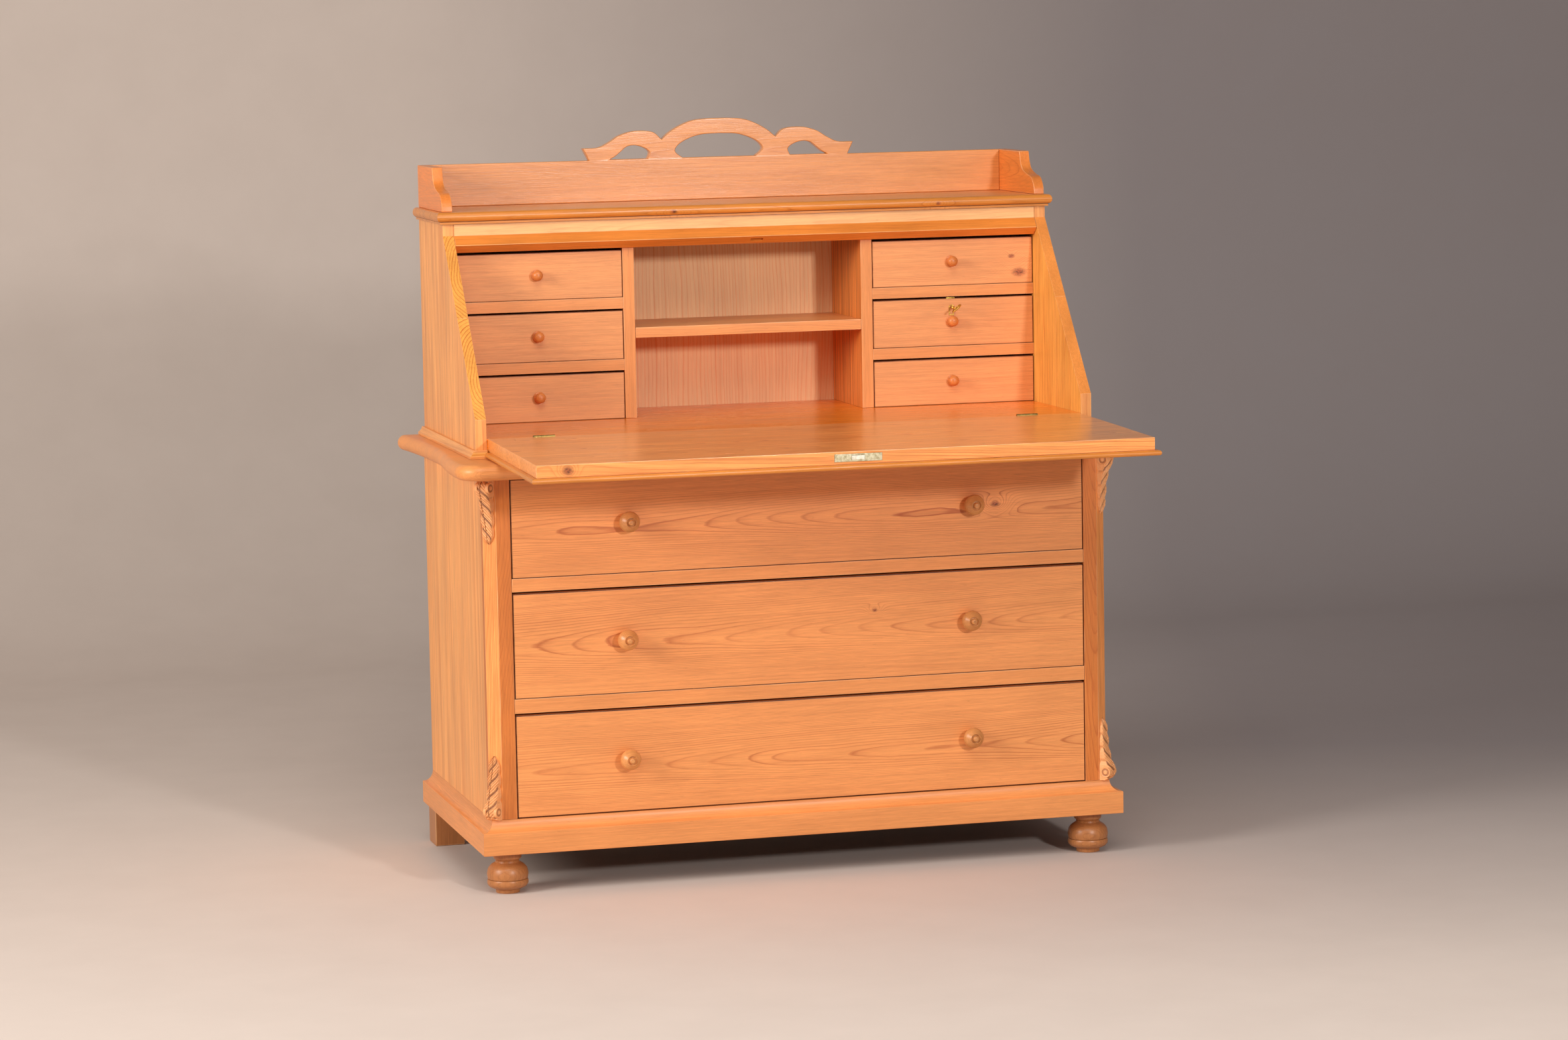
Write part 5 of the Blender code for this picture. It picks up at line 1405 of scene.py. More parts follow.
@dataclass
class UpperCase(Assembly):
    """The sloped upper case: sides with their moulding, writing bed and top rail."""

    slope: Slope
    rebate: float = 0.0178
    bed_thickness: float = 0.019
    bearer: float = 0.020
    moulding_height: float = 0.014
    moulding_run: float = 0.012
    moulding_shares: tuple[Pair, ...] = (
        (1.0, 0.0), (1.0, 0.30), (0.97, 0.34), (0.84, 0.40), (0.70, 0.50), (0.58, 0.62),
        (0.50, 0.74), (0.44, 0.86), (0.42, 0.93), (0.40, 1.0))
    side_joints: Pair = (0.105, 0.335)
    bed_joints: Pair = (0.15, 0.292)
    strike_half: float = 0.0115
    waist_top: float = field(default_factory=lambda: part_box("waist_board")[1].z)

    def build(self) -> None:
        """Build the upper case."""
        for side, word in SIDES:
            self.build_side(side, word)
        self.build_bed()
        self.build_rail()
        LOG.info("upper case: sides, bed and top rail")

    def build_side(self, side: int, word: str) -> None:
        """Build one side out of upright boards, with its waist moulding.

        Args:
            side: -1 for the left and 1 for the right.
            word: the side's name.
        """
        low = self.waist_top + TOUCH
        high = self.slope.upper_top - TOUCH
        slope = self.slope
        pick = self.timber.pick
        panel = Piece(f"upper_side_{word}_boards", f"upper_side_{word}")

        def top(depth: float) -> float:
            """Return the height of the side at a depth."""
            if depth <= slope.top_depth:
                return high
            return slope.corner_top + (slope.hinge_depth - depth) * math.tan(slope.angle)

        first, second = self.side_joints
        stops = (0.0, first, slope.top_depth, second, slope.hinge_depth)
        for start, end in zip(stops, stops[1:]):
            near = max(start, self.rebate)
            rear = slope.slant_top if start == slope.top_depth else top(near)
            outline = [(BACK_Y - near, low), (BACK_Y - end, low), (BACK_Y - end, top(end)),
                       (BACK_Y - near, rear)]
            grain = Grain(Run.UPRIGHT_SIDE, pick(-0.02, 0.03), -side * pick(0.03, 0.05),
                          side * pick(0.02, 0.03), pick(0, 30), pick(-0.4, 0.4))
            panel.prism(outline, 0, sorted((side * UPPER_INNER, side * UPPER_HALF)), grain, 0.0003)
        panel.board(at(side * (UPPER_HALF - TONGUE), 0.0, low),
                    at(side * UPPER_HALF, self.rebate, high),
                    self.timber.straight(Run.UPRIGHT_SIDE), 0.0005)
        profile = scaled(self.moulding_shares, self.moulding_run, self.moulding_height, (0.0, low))
        profile += [(-2 * HAIR, profile[-1][1]), (-2 * HAIR, low)]
        front = BACK_Y - slope.hinge_depth
        lengths = mitred([(side * UPPER_HALF, BACK_Y), (side * UPPER_HALF, front),
                          (side * UPPER_INNER, front)],
                         [(side * -run, height) for run, height in profile])
        for ends, run in zip(lengths, (Run.DEEP_SIDE, Run.FRONT)):
            panel.loft(ends, self.timber.straight(run), 0.0002)
        panel.face_slots((0.0, -math.sin(slope.angle), math.cos(slope.angle)), 0.93, 1)
        panel.face_slots((-side, 0.0, 0.0), 0.95, 2)
        panel.outcome(self.looks("side", "slant" if side < 0 else "smooth", "inner_side"))

    def build_bed(self) -> None:
        """Build the writing bed's boards and its two bearers."""
        slope = self.slope
        reach = UPPER_INNER - TOUCH
        front = slope.hinge_depth - 0.0004
        under = slope.bed_top - self.bed_thickness
        bed = Piece("writing_bed_boards", "writing_bed")
        stops = (self.rebate, *self.bed_joints, front)
        for start, end in zip(stops, stops[1:]):
            tools = Hinges().recesses(slope.pivot, 1) if end == front else ()
            bed.board(at(-reach, start + HALF_HAIR, under),
                      at(reach, end - (0.0 if tools else HALF_HAIR), slope.bed_top),
                      self.timber.flat(Run.FLAT, 0.14), 0.0005, cutters=tools)
        for start in (front - self.bearer, self.rebate):
            bed.board(at(-reach, start, self.waist_top + TOUCH),
                      at(reach, start + self.bearer, under),
                      self.timber.straight(Run.FRONT), 0.0006)
        bed.outcome(self.looks("bed"))

    def build_rail(self) -> None:
        """Build the stepped rail at the top of the slope, with its chiselled strike."""
        slope = self.slope
        high = slope.upper_top - TOUCH
        edge = slope.top_depth
        ahead = Vector((math.cos(slope.angle), -math.sin(slope.angle)))
        inward = Vector((-math.sin(slope.angle), -math.cos(slope.angle)))
        land = Vector((edge, slope.slant_top)) + ahead * slope.landing
        step = land + inward * (slope.body - TOUCH)
        back = edge - slope.rail_thickness
        outline = [(BACK_Y - d, h) for d, h in
                   ((edge, high), (edge, slope.slant_top), land, step, (back, step[1]),
                    (back, high))]
        end = -slope.length - slope.end_gap
        middle = -slope.body / 2
        strike = cutter(block((slope.lock_centre - self.strike_half, end - 0.010, middle - 0.004),
                              (slope.lock_centre + self.strike_half, end + 0.002, middle + 0.004)),
                        slope.shut_place)
        rail = Piece("top_rail_board", "top_rail")
        rail.prism(outline, 0, (TOUCH - UPPER_INNER, UPPER_INNER - TOUCH),
                   Grain(Run.FRONT, 0.01, 0.045, 0.02, 7.3, 0.5), 0.0009, cutters=[strike])
        # Painted highlight: the rail's forward face takes a paler copy of its wood.
        rail.face_slots(FORWARD, 0.95, 1)
        rail.outcome(self.looks("rail", "pale"))


@dataclass
class FallFront(Assembly):
    """The fall front: glued boards, a beaded lip, its lock plate and nail heads smoothed by use."""

    slope: Slope
    half: float = 0.5326
    joint_gap: float = 0.0004
    lip_start: float = 0.0145
    lip_root: float = 0.014
    plate_length: float = 0.082
    plate_width: float = 0.013
    plate: float = 0.0016
    case_length: float = 0.060
    case_half: float = 0.0055
    case_depth: float = 0.028
    bolt_slot: Pair = (0.0113, 0.0038)
    screw_offset: float = 0.031
    screw_radius: float = 0.0033
    boards: tuple[float, ...] = (0.0004, 0.128, 0.262)
    knot_across: float = -0.480
    nails: tuple[Pair, ...] = ((-0.492, 0.031), (-0.489, 0.352), (0.495, 0.060), (0.490, 0.341),
                               (-0.205, 0.375), (0.236, 0.372))
    nail_profile: tuple[Pair, ...] = ((0.0004, -0.002), (0.0013, -0.0004), (0.0016, 0.0001),
                                      (0.0009, 0.00035))

    def build(self) -> None:
        """Build the fall front in its own frame and lay it open."""
        slope = self.slope
        far = slope.length
        lid = Piece("fall_front_boards", "fall_front", "fall_front")
        stops = (*self.boards, far)
        knots = []
        for start, end in zip(stops, stops[1:]):
            last = end == far
            tools = self.lock_recesses() if last else []
            if start == self.boards[0]:
                tools = Hinges().recesses(Matrix.Identity(4), -1)
            grain = self.timber.flat(Run.FLAT, 0.12)
            if last:
                spot = grain.at(Vector((self.knot_across, -end, -slope.body / 2)),
                                Vector((0.0, -(start + end) / 2, -slope.body / 2)))
                knots.append(Knot(spot, 0.0085, 0.008, (0.85, 0.5, 1.0)))
            lid.board((-self.half, -end + (0.0 if last else HALF_HAIR), -slope.body),
                      (self.half, -start, 0.0), grain, 0.0011 if last else 0.0004, 0,
                      slope.lid_place, tools)
        inner = self.half - self.lip_root - 2 * HAIR
        lid.board((-inner, self.lip_root + 2 * HAIR - far, -slope.body - slope.lip),
                  (inner, -self.joint_gap, -slope.body - HALF_HAIR),
                  self.timber.flat(Run.FLAT), 0.0004, 0, slope.lid_place)
        self.build_lip(lid)
        lid.outcome([FINISHES["lid"].build("_with_knot", knots), *self.looks("lip")])
        self.build_lock()
        self.build_nails()
        LOG.info("fall front: %.0f mm deep", 1000 * far)

    def lock_recesses(self) -> list[bpy.types.Object]:
        """Return the cutters for the lock's plate and case, in the fall front's frame."""
        edge = -self.slope.length
        rows = ((self.plate_length / 2, 0.002, self.plate, self.plate_width / 2 + TOUCH),
                (self.case_length / 2, 0.001, self.case_depth, self.case_half + TOUCH))
        return [cutter(block(self.by_lock(-half - TOUCH, edge - out, -thick),
                             self.by_lock(half + TOUCH, edge + deep + TOUCH, thick)),
                       Matrix.Identity(4)) for half, out, deep, thick in rows]

    def by_lock(self, across: float, way: float, up: float) -> Triple:
        """Return a place in the fall front's frame from its distances to the lock's middle."""
        return self.slope.lock_centre + across, way, up - self.slope.body / 2

    def build_lip(self, lid: Piece) -> None:
        """Build the beaded lip round three edges, mitred at its corners.

        Args:
            lid: the piece that the lip belongs to.
        """
        slope = self.slope
        reach = slope.lip_overhang
        thick = slope.lip
        radius = thick / 2 * 0.85
        profile = [(-self.lip_root, 0.0), (reach * 0.35, 0.0),
                   *arc((reach - radius, -thick / 2), (radius, thick / 2 * 0.97), QUARTER,
                        -QUARTER, 8), (reach * 0.35, -thick), (-self.lip_root, -thick)]
        line = [(-self.half, -self.lip_start), (-self.half, -slope.length),
                (self.half, -slope.length), (self.half, -self.lip_start)]
        lengths = mitred(line, [(run, height - slope.body - HALF_HAIR) for run, height in profile])
        for ends, run in zip(lengths, (Run.DEEP_FLAT, Run.FRONT, Run.DEEP_FLAT)):
            lid.loft(ends, self.timber.straight(run), 0.0, 1, slope.lid_place)

    def build_lock(self) -> None:
        """Build the lock's plate with two slotted screws, and dress its bolt."""
        place = self.slope.lid_place
        edge = -self.slope.length
        lock = Piece("lid_lock_metal", "lid_lock", "fall_front")
        half, high = self.plate_length / 2, self.plate_width / 2
        slot, rim = self.bolt_slot
        case, near = self.case_length / 2, edge + self.plate * 0.6
        deep, plate = edge + self.case_depth, edge + self.plate
        rows = ((-half, -slot, edge, plate, -high, high), (slot, half, edge, plate, -high, high),
                (-slot - 2 * HAIR, slot + 2 * HAIR, edge, plate, -high, -rim),
                (-slot - 2 * HAIR, slot + 2 * HAIR, edge, plate, rim, high),
                (-case, -slot - 0.001, near, deep, -self.case_half, self.case_half),
                (slot + 0.001, case, near, deep, -self.case_half, self.case_half))
        for left, right, outer, inner, low, top in rows:
            lock.board(self.by_lock(left, outer, low), self.by_lock(right, inner, top),
                       Grain(Run.FRONT), 0.0003, 0, place)
        for offset in (-self.screw_offset, self.screw_offset):
            head = Matrix.Translation(self.by_lock(offset, edge, 0.0)) \
                @ Matrix.Rotation(QUARTER, 4, "X") @ Matrix.Rotation(offset * 20, 4, "Z")
            for side, _ in SIDES:
                outline = arc((side * 0.0004, 0.0), (side * (self.screw_radius - 0.0004),
                                                     self.screw_radius - 0.0002),
                              -QUARTER, QUARTER, 12)
                lock.prism(outline, 2, (-0.0004, 0.0003), Grain(Run.FLAT), 0.0001, 0, place @ head)
        lock.outcome(self.looks("nickel"), 30.0)
        dress("lid_lock_bolt", self.finishes.get("bright"))

    def build_nails(self) -> None:
        """Build the few nail heads that show on the writing surface."""
        nails = Piece("fall_front_nails", body="fall_front")
        for across, way in self.nails:
            nails.lathe(self.nail_profile, Grain(Run.FLAT),
                        self.slope.lid_place @ Matrix.Translation((across, -way, 0.0)), 16)
        nails.outcome(self.looks("nickel"), 30.0)


@dataclass
class TopAndGallery(Assembly):
    """The top board, and the gallery with its brackets and its pierced crest."""

    slope: Slope
    overhang: float = 0.011
    fillet: float = 0.004
    fillet_inset: float = 0.006
    nose: float = 0.007
    bracket: float = 0.019
    thickness: float = 0.018
    ease: float = 0.0014
    height: float = 0.0756
    crest_height: float = 0.0709
    crest_half: float = 0.254
    bracket_setback: float = 0.0026
    bracket_shares: tuple[Pair, ...] = (
        (0.613, 1.0), (0.6445, 0.738), (0.691, 0.582), (0.80, 0.474), (0.92, 0.398),
        (0.986, 0.20), (1.0, 0.0))
    outer_shares: tuple[tuple[Pair, ...], ...] = (
        ((0.957, 0.0), (1.0, 0.31)),
        ((1.0, 0.31), (0.886, 0.325), (0.802, 0.46), (0.728, 0.62), (0.62, 0.72), (0.49, 0.69),
         (0.421, 0.49)),
        ((0.421, 0.49), (0.362, 0.67), (0.285, 0.83), (0.193, 0.955), (0.09, 0.995), (0.0, 1.0)))
    side_hole_shares: tuple[Pair, ...] = (
        (0.527, 0.012), (0.512, 0.17), (0.551, 0.29), (0.62, 0.36), (0.677, 0.33), (0.719, 0.22),
        (0.76, 0.10), (0.805, 0.012))
    arch_shares: tuple[Pair, ...] = (
        (0.27, 0.012), (0.323, 0.176), (0.30, 0.34), (0.228, 0.49), (0.13, 0.59), (0.0, 0.616))
    nose_knots: tuple[Pair, ...] = ((-0.140, 0.0042), (0.350, 0.0034))

    def build(self) -> None:
        """Build the top board and the gallery."""
        low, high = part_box("top_board")
        reach = UPPER_HALF + self.overhang
        front = self.slope.top_depth + self.overhang
        line = [(-reach, BACK_Y), (-reach, BACK_Y - front), (reach, BACK_Y - front),
                (reach, BACK_Y)]
        middle = (low.z + self.fillet + high.z) / 2
        half = (high.z - low.z - self.fillet) / 2
        levels = [(self.fillet_inset, low.z), (self.fillet_inset, low.z + self.fillet),
                  *arc((self.nose, middle), (-self.nose, half), -QUARTER, QUARTER, 12)[1:]]
        grain = Grain(Run.FLAT, 0.03, 0.05, 0.03, 4.4, 0.1)
        board = Piece("top_board_wood", "top_board")
        board.loft([[Vector((x, y, height)) for x, y in shifted_line(line, -inset)]
                    for inset, height in levels], grain)
        centre = at(0.0, front / 2, middle)
        knots = [Knot(grain.at(at(across, front, middle), centre), size, size * 2.4,
                      (0.7, 0.7, 1.0)) for across, size in self.nose_knots]
        for facing in (FORWARD, (-1.0, 0.0, 0.0), (1.0, 0.0, 0.0)):
            board.face_slots(facing, 0.35, 2)
        # Painted shadow: the faces that look down take the dark underside finish, giving a dark line
        # under the nose.
        board.face_slots(DOWN, 0.75, 1)
        board.outcome([*self.looks("frame", "underside"),
                       FINISHES["lip"].build("_top_board", knots)], smooth=30.0)
        self.build_brackets(high.z + TOUCH, high.z + self.height)
        self.build_back(high.z + TOUCH, high.z + self.height)
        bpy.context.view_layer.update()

    def build_brackets(self, seat: float, top: float) -> None:
        """Build the two curved brackets.

        Args:
            seat: the height of their lower edge.
            top: the height of their highest point.
        """
        depth = self.slope.top_depth - self.bracket_setback
        curve = smooth_line(scaled(self.bracket_shares, depth, top - seat, (0.0, seat)))
        outline = [(BACK_Y - d, h) for d, h in [(0.0, seat), (0.0, top), *curve]]
        for side, word in SIDES:
            piece = Piece(f"gallery_bracket_{word}_board", f"gallery_bracket_{word}")
            piece.prism(outline, 0, sorted((side * (UPPER_HALF - self.bracket), side * UPPER_HALF)),
                        Grain(Run.DEEP_SIDE, 0.01, 0.05, 0.03, 3.0 + side, -0.8 * side), self.ease)
            piece.outcome(self.looks("bracket"))

    def build_back(self, seat: float, base: float) -> None:
        """Build the back of the gallery as a pierced outline with rounded edges.

        Args:
            seat: the height of its lower edge.
            base: the height at which its crest starts.
        """
        half = UPPER_HALF - self.bracket - TOUCH

        def run(shares: Sequence[Pair]) -> list[Pair]:
            """Return a smooth line from shares of the crest's size."""
            return smooth_line(scaled(shares, self.crest_half, self.crest_height, (0.0, base)))

        crest: list[Pair] = []
        for stretch in self.outer_shares:
            crest += run(stretch)[1 if crest else 0:]
        outline = [(-half, seat), (half, seat), (half, base), *crest,
                   *[(-a, b) for a, b in reversed(crest[:-1])], (-half, base)]
        hole = run(self.side_hole_shares)
        back = self.pierced([outline, mirrored(run(self.arch_shares)), hole,
                             [(-a, b) for a, b in reversed(hole)]])
        back.transform(Matrix.Translation((0.0, BACK_Y - self.thickness / 2, 0.0))
                       @ Matrix.Rotation(QUARTER, 4, "X"))
        piece = Piece("gallery_back_board", "gallery_back")
        piece.take(back, Grain(Run.FRONT, 0.012, 0.032, 0.028, 6.1, 0.4))
        piece.outcome(self.looks("gallery"), smooth=50.0)

    def pierced(self, lines: Sequence[Sequence[Pair]]) -> Shape:
        """Make a board with holes and rounded edges, flat on the first two axes.

        Args:
            lines: the board's outline, and after it the outlines of its holes.

        Returns:
            The closed shape.
        """
        curve = bpy.data.curves.new("outline", "CURVE")
        settings = {"dimensions": "2D", "fill_mode": "BOTH",
                    "extrude": self.thickness / 2 - self.ease, "bevel_depth": self.ease,
                    "bevel_resolution": 2, "offset": -self.ease}
        for key, setting in settings.items():
            setattr(curve, key, setting)
        for line in lines:
            spline = curve.splines.new("POLY")
            spline.points.add(len(line) - 1)
            for point, (a, b) in zip(spline.points, line):
                point.co = (a, b, 0.0, 1.0)
            spline.use_cyclic_u = True
        made = linked("outline", curve)
        mesh = worked_out(made)
        shape = bmesh.new()
        shape.from_mesh(mesh)
        bmesh.ops.remove_doubles(shape, verts=shape.verts, dist=1e-5)
        bpy.data.objects.remove(made, do_unlink=True)
        bpy.data.curves.remove(curve)
        bpy.data.meshes.remove(mesh)
        return shape


@dataclass
class Nests(Assembly):
    """The two nests of drawers and the pigeonhole's shelf between them."""

    slope: Slope
    heights: tuple[float, ...] = (0.0840, 0.0875, 0.0851)
    top_gap: float = 0.0018
    shelf: float = 0.020
    top_board: float = 0.014
    inner: float = 0.2093
    partition: float = 0.0208
    reach: float = 0.5347
    setback: float = 0.0127
    back: float = 0.0178
    lipping: float = 0.0022
    bolt_room: float = 0.0005
    bolt_rise: float = 0.0065

    def build(self) -> None:
        """Build the nests out of partitions and housed shelves."""
        for side, word in SIDES:
            self.build_nest(side, f"drawer_nest_{word}")
        shelf = Piece("pigeonhole_shelf_board", "pigeonhole_shelf")
        shelf.board(*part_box("pigeonhole_shelf"), Grain(Run.FLAT, 0.03, 0.05, 0.03, 8.8, 0.3), 0.0012)
        shelf.outcome(self.looks("frame"))
        LOG.info("nests: two partitions, six shelves and the pigeonhole's shelf")

    def build_nest(self, side: int, node: str) -> None:
        """Build one nest.

        Args:
            side: -1 for the left and 1 for the right.
            node: the plain node that it stands for.
        """
        low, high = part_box(node)
        pick = self.timber.pick
        front = self.slope.top_depth - self.setback
        rear = self.slope.top_depth - self.slope.rail_thickness - TOUCH
        outer = self.inner + self.partition
        nest = Piece(f"{node}_boards", node)
        nest.board(at(side * self.inner, self.back, low.z),
                   at(side * outer, front - self.lipping, high.z),
                   Grain(Run.UPRIGHT_SIDE, 0.16, side * 0.035, 0.012, pick(0, 9), -0.3), 0.0, 1)
        nest.board(at(side * self.inner, front - self.lipping, low.z),
                   at(side * outer, front, high.z),
                   Grain(Run.UPRIGHT_BACK, 0.10, 0.03, 0.01, pick(0, 9)), 0.0008)
        level = self.slope.bed_top
        for number, height in enumerate(self.heights):
            level += TOUCH + height + self.top_gap
            last = number == len(self.heights) - 1
            thick = self.top_board if last else self.shelf
            nest.board(at(side * (outer + HAIR), self.back, level),
                       at(side * self.reach, rear if last else front, level + thick),
                       self.timber.straight(Run.FRONT), 0.0008,
                       cutters=self.bolt_pocket() if (side, number) == (1, 1) else ())
            level += thick
        nest.outcome(self.looks("frame", "partition"))

    def bolt_pocket(self) -> list[bpy.types.Object]:
        """Return the cutter for the pocket that the small drawer's bolt enters."""
        low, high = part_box("drawer_lock_bolt")
        grow = Vector((self.bolt_room, self.bolt_room, 0.0))
        return [cutter(block(low - grow, high + grow + Vector((0.0, 0.0, self.bolt_rise))),
                       Matrix.Identity(4))]


@dataclass(frozen=True)
class DrawerKind:
    """What drawers of one kind share: the thickness of their boards and their finish."""

    face: float
    wall: float
    bottom: float
    drop: float
    finish: str


@dataclass
class Drawer(Assembly):
    """One drawer: a front that shows, two sides, a back and a bottom."""

    node: str
    kind: DrawerKind
    front_grain: Grain
    knots: tuple[Triple, ...] = ()
    lift: float = 0.0005
    ease: float = 0.0012
    head: float = 0.0018
    tails: int = 3

    def build(self) -> None:
        """Build the drawer as boards with lapped corners."""
        low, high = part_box(self.node)
        kind = self.kind
        timber = self.timber
        piece = Piece(f"{self.node}_boards", self.node, self.node)
        piece.board(low, (high.x, low.y + kind.face, high.z - self.head), self.front_grain,
                    self.ease)
        top = high.z - kind.drop
        left = low.x + self.lift
        right = high.x - self.lift
        join = low.y + kind.face + HALF_HAIR
        for near, far in ((left, left + kind.wall), (right - kind.wall, right)):
            piece.board((near, join, low.z + 2 * HAIR), (far, high.y, top),
                        timber.straight(Run.DEEP_SIDE), 0.0012, 1)
        inner = left + kind.wall + HAIR
        stop = right - kind.wall - HAIR
        piece.board((inner, high.y - kind.wall, low.z + kind.bottom + 2 * HAIR),
                    (stop, high.y, top - 0.001), timber.straight(Run.FRONT), 0.0010, 1)
        piece.board((inner, join, low.z + 2 * HAIR), (stop, high.y, low.z + kind.bottom),
                    timber.flat(Run.FLAT, 0.3), 0.0004, 1)
        self.add_tails(piece, ((left, -1), (right, 1)), join, low.z, top)
        if self.knots:
            face = FINISHES[kind.finish].build(f"_{self.node}", [
                self.knot(values, low, high) for values in self.knots])
        else:
            face = self.finishes.get(kind.finish)
        piece.outcome([face, *self.looks("inner")])

    def add_tails(self, piece: Piece, faces: Sequence[tuple[float, int]], join: float,
                  bottom: float, top: float) -> None:
        """Show the dovetails at the front corners as thin tails proud of the sides.

        Args:
            piece: the drawer's piece.
            faces: the outer face of each side, and the way that it looks.
            join: where the sides meet the front.
            bottom: the drawer's lower edge.
            top: the upper edge of the sides.
        """
        pitch = (top - bottom) / self.tails
        wide, narrow = pitch * 0.36, pitch * 0.22
        tip = join - self.kind.face * 0.55
        for face, way in faces:
            for i in range(self.tails):
                middle = bottom + pitch * (i + 0.5)
                piece.prism([(tip, middle - wide), (join, middle - narrow),
                             (join, middle + narrow), (tip, middle + wide)], 0,
                            sorted((face - way * 0.001, face + way * 0.0003)),
                            self.timber.straight(Run.DEEP_SIDE), 0.0, 1)

    def knot(self, values: Triple, low: Vector, high: Vector) -> Knot:
        """Return a knot from its place across and up the front, and its radius."""
        centre = Vector(((low.x + high.x) / 2, low.y + self.kind.face / 2, (low.z + high.z) / 2))
        place = self.front_grain.at(Vector((values[0], low.y, values[1])), centre)
        return Knot(place, values[2], values[2] * 1.7)


@dataclass(frozen=True)
class KnobKind:
    """What knobs of one kind share: their size, finish, slot and profile."""

    radius: float
    length: float
    finish: str
    slot: str
    shares: tuple[Pair, ...]


@dataclass
class Knob(Assembly):
    """A turned drawer knob, big or small."""

    node: str
    body: str
    kind: KnobKind
    paler: tuple[str, ...] = ("long_drawer_middle_knob_left", "long_drawer_bottom_knob_left")

    def build(self) -> None:
        """Turn the knob where the plain one is."""
        low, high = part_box(self.node)
        pick = self.timber.pick
        centre = Vector(((low.x + high.x) / 2, high.y, (low.z + high.z) / 2))
        pale = 5.0 if self.node in self.paler else 0.0
        # The top drawer's knobs get a lower tone as painted shade under the open fall front.
        grain = Grain(Run.FLAT, pick(-0.03, 0.03), pick(0.02, 0.05), 0.05, pick(0, 30),
                      -1.6 if "top" in self.node else pale + pick(-0.4, 0.8))
        turned = Piece(f"{self.node}_turning", self.node, self.body)
        turned.lathe(scaled(self.kind.shares, self.kind.radius, self.kind.length), grain,
                     Matrix.Translation(centre) @ Matrix.Rotation(QUARTER, 4, "X"))
        turned.outcome(self.looks(self.kind.finish), 42.0)


@dataclass
class Drawers(Assembly):
    """The three long drawers, the six small ones and all their knobs."""

    long: DrawerKind = DrawerKind(0.020, 0.012, 0.008, 0.018, "drawer")
    small: DrawerKind = DrawerKind(0.014, 0.008, 0.006, 0.010, "small")
    big_knob: KnobKind = KnobKind(0.018, 0.036, "knob", TURNED_SLOT, (
        (0.66, 0.0), (0.635, 0.05), (0.62, 0.10), (0.625, 0.15), (0.66, 0.21), (0.73, 0.26),
        (0.81, 0.32), (0.90, 0.38), (0.965, 0.44), (0.995, 0.49), (1.0, 0.54), (0.985, 0.59),
        (0.94, 0.645), (0.86, 0.705), (0.76, 0.76), (0.66, 0.805), (0.58, 0.845), (0.53, 0.875),
        (0.495, 0.895), (0.465, 0.895), (0.44, 0.872), (0.415, 0.84), (0.385, 0.822),
        (0.345, 0.818), (0.31, 0.828), (0.29, 0.87), (0.285, 0.92), (0.26, 0.955), (0.21, 0.982),
        (0.14, 1.0)))
    small_knob: KnobKind = KnobKind(0.0095, 0.0195, "red_turned", "red_turned_pine", (
        (1.06, 0.0), (1.06, 0.06), (1.0, 0.09), (0.82, 0.115), (0.68, 0.15), (0.61, 0.20),
        (0.60, 0.27), (0.68, 0.33), (0.80, 0.385), (0.91, 0.44), (0.975, 0.50), (1.0, 0.58),
        (0.985, 0.66), (0.945, 0.74), (0.87, 0.81), (0.76, 0.87), (0.63, 0.925), (0.48, 0.962),
        (0.30, 0.988), (0.14, 1.0)))
    fronts: tuple[tuple[str, Grain, tuple[Triple, ...]], ...] = (
        # The top front's lower tone is painted shade: it stands darker under the open fall front.
        ("top", Grain(Run.FRONT, -0.003, 0.056, 0.015, 11.0, -0.6), ((0.351, 0.633, 0.0055),)),
        ("middle", Grain(Run.FRONT, 0.002, 0.054, 0.018, 23.0, 0.2), ((0.129, 0.458, 0.0030),)),
        ("bottom", Grain(Run.FRONT, -0.009, 0.050, 0.013, 37.0, 0.2), ()))
    knotty: str = "small_drawer_right_top"
    knots: tuple[Triple, ...] = ((0.494, 1.044, 0.0040), (0.508, 1.0145, 0.0082))

    def build(self) -> None:
        """Build every drawer and its knobs."""
        shop = (self.timber, self.finishes)
        for row, grain, knots in self.fronts:
            node = f"long_drawer_{row}"
            Drawer(*shop, node, self.long, grain, knots).build()
            for _, hand in SIDES:
                Knob(*shop, f"{node}_knob_{hand}", node, self.big_knob).build()
        pick = self.timber.pick
        for _, word in SIDES:
            for row, _, _ in self.fronts:
                node = f"small_drawer_{word}_{row}"
                grain = Grain(Run.FRONT, self.timber.chance.choice((-1, 1)) * pick(0.05, 0.09),
                              pick(0.02, 0.04), pick(-0.02, 0.02), pick(0, 30), pick(-0.5, 0.9))
                Drawer(*shop, node, self.small, grain,
                       self.knots if node == self.knotty else ()).build()
                Knob(*shop, f"{node}_knob", node, self.small_knob).build()
        LOG.info("drawers: three long ones and six small ones, with twelve knobs")


@dataclass
class KeyAndLock:
    """The key in the middle drawer on the right, its keyhole rim and its bolt."""

    def build(self, finishes: Finishes) -> None:
        """Dress the brass pieces, whose shapes are right in the plain model."""
        for name in ("drawer_escutcheon", "drawer_lock_bolt", "drawer_key"):
            shade_smooth(dress(name, finishes.get("brass")), 40)
        LOG.info("key, keyhole rim and bolt")


@dataclass(frozen=True)
class Lamp:
    """A soft square lamp: its place, aim, side, power in watts and colour."""

    name: str
    place: Triple
    aim: Triple
    size: float
    power: float
    colour: Triple


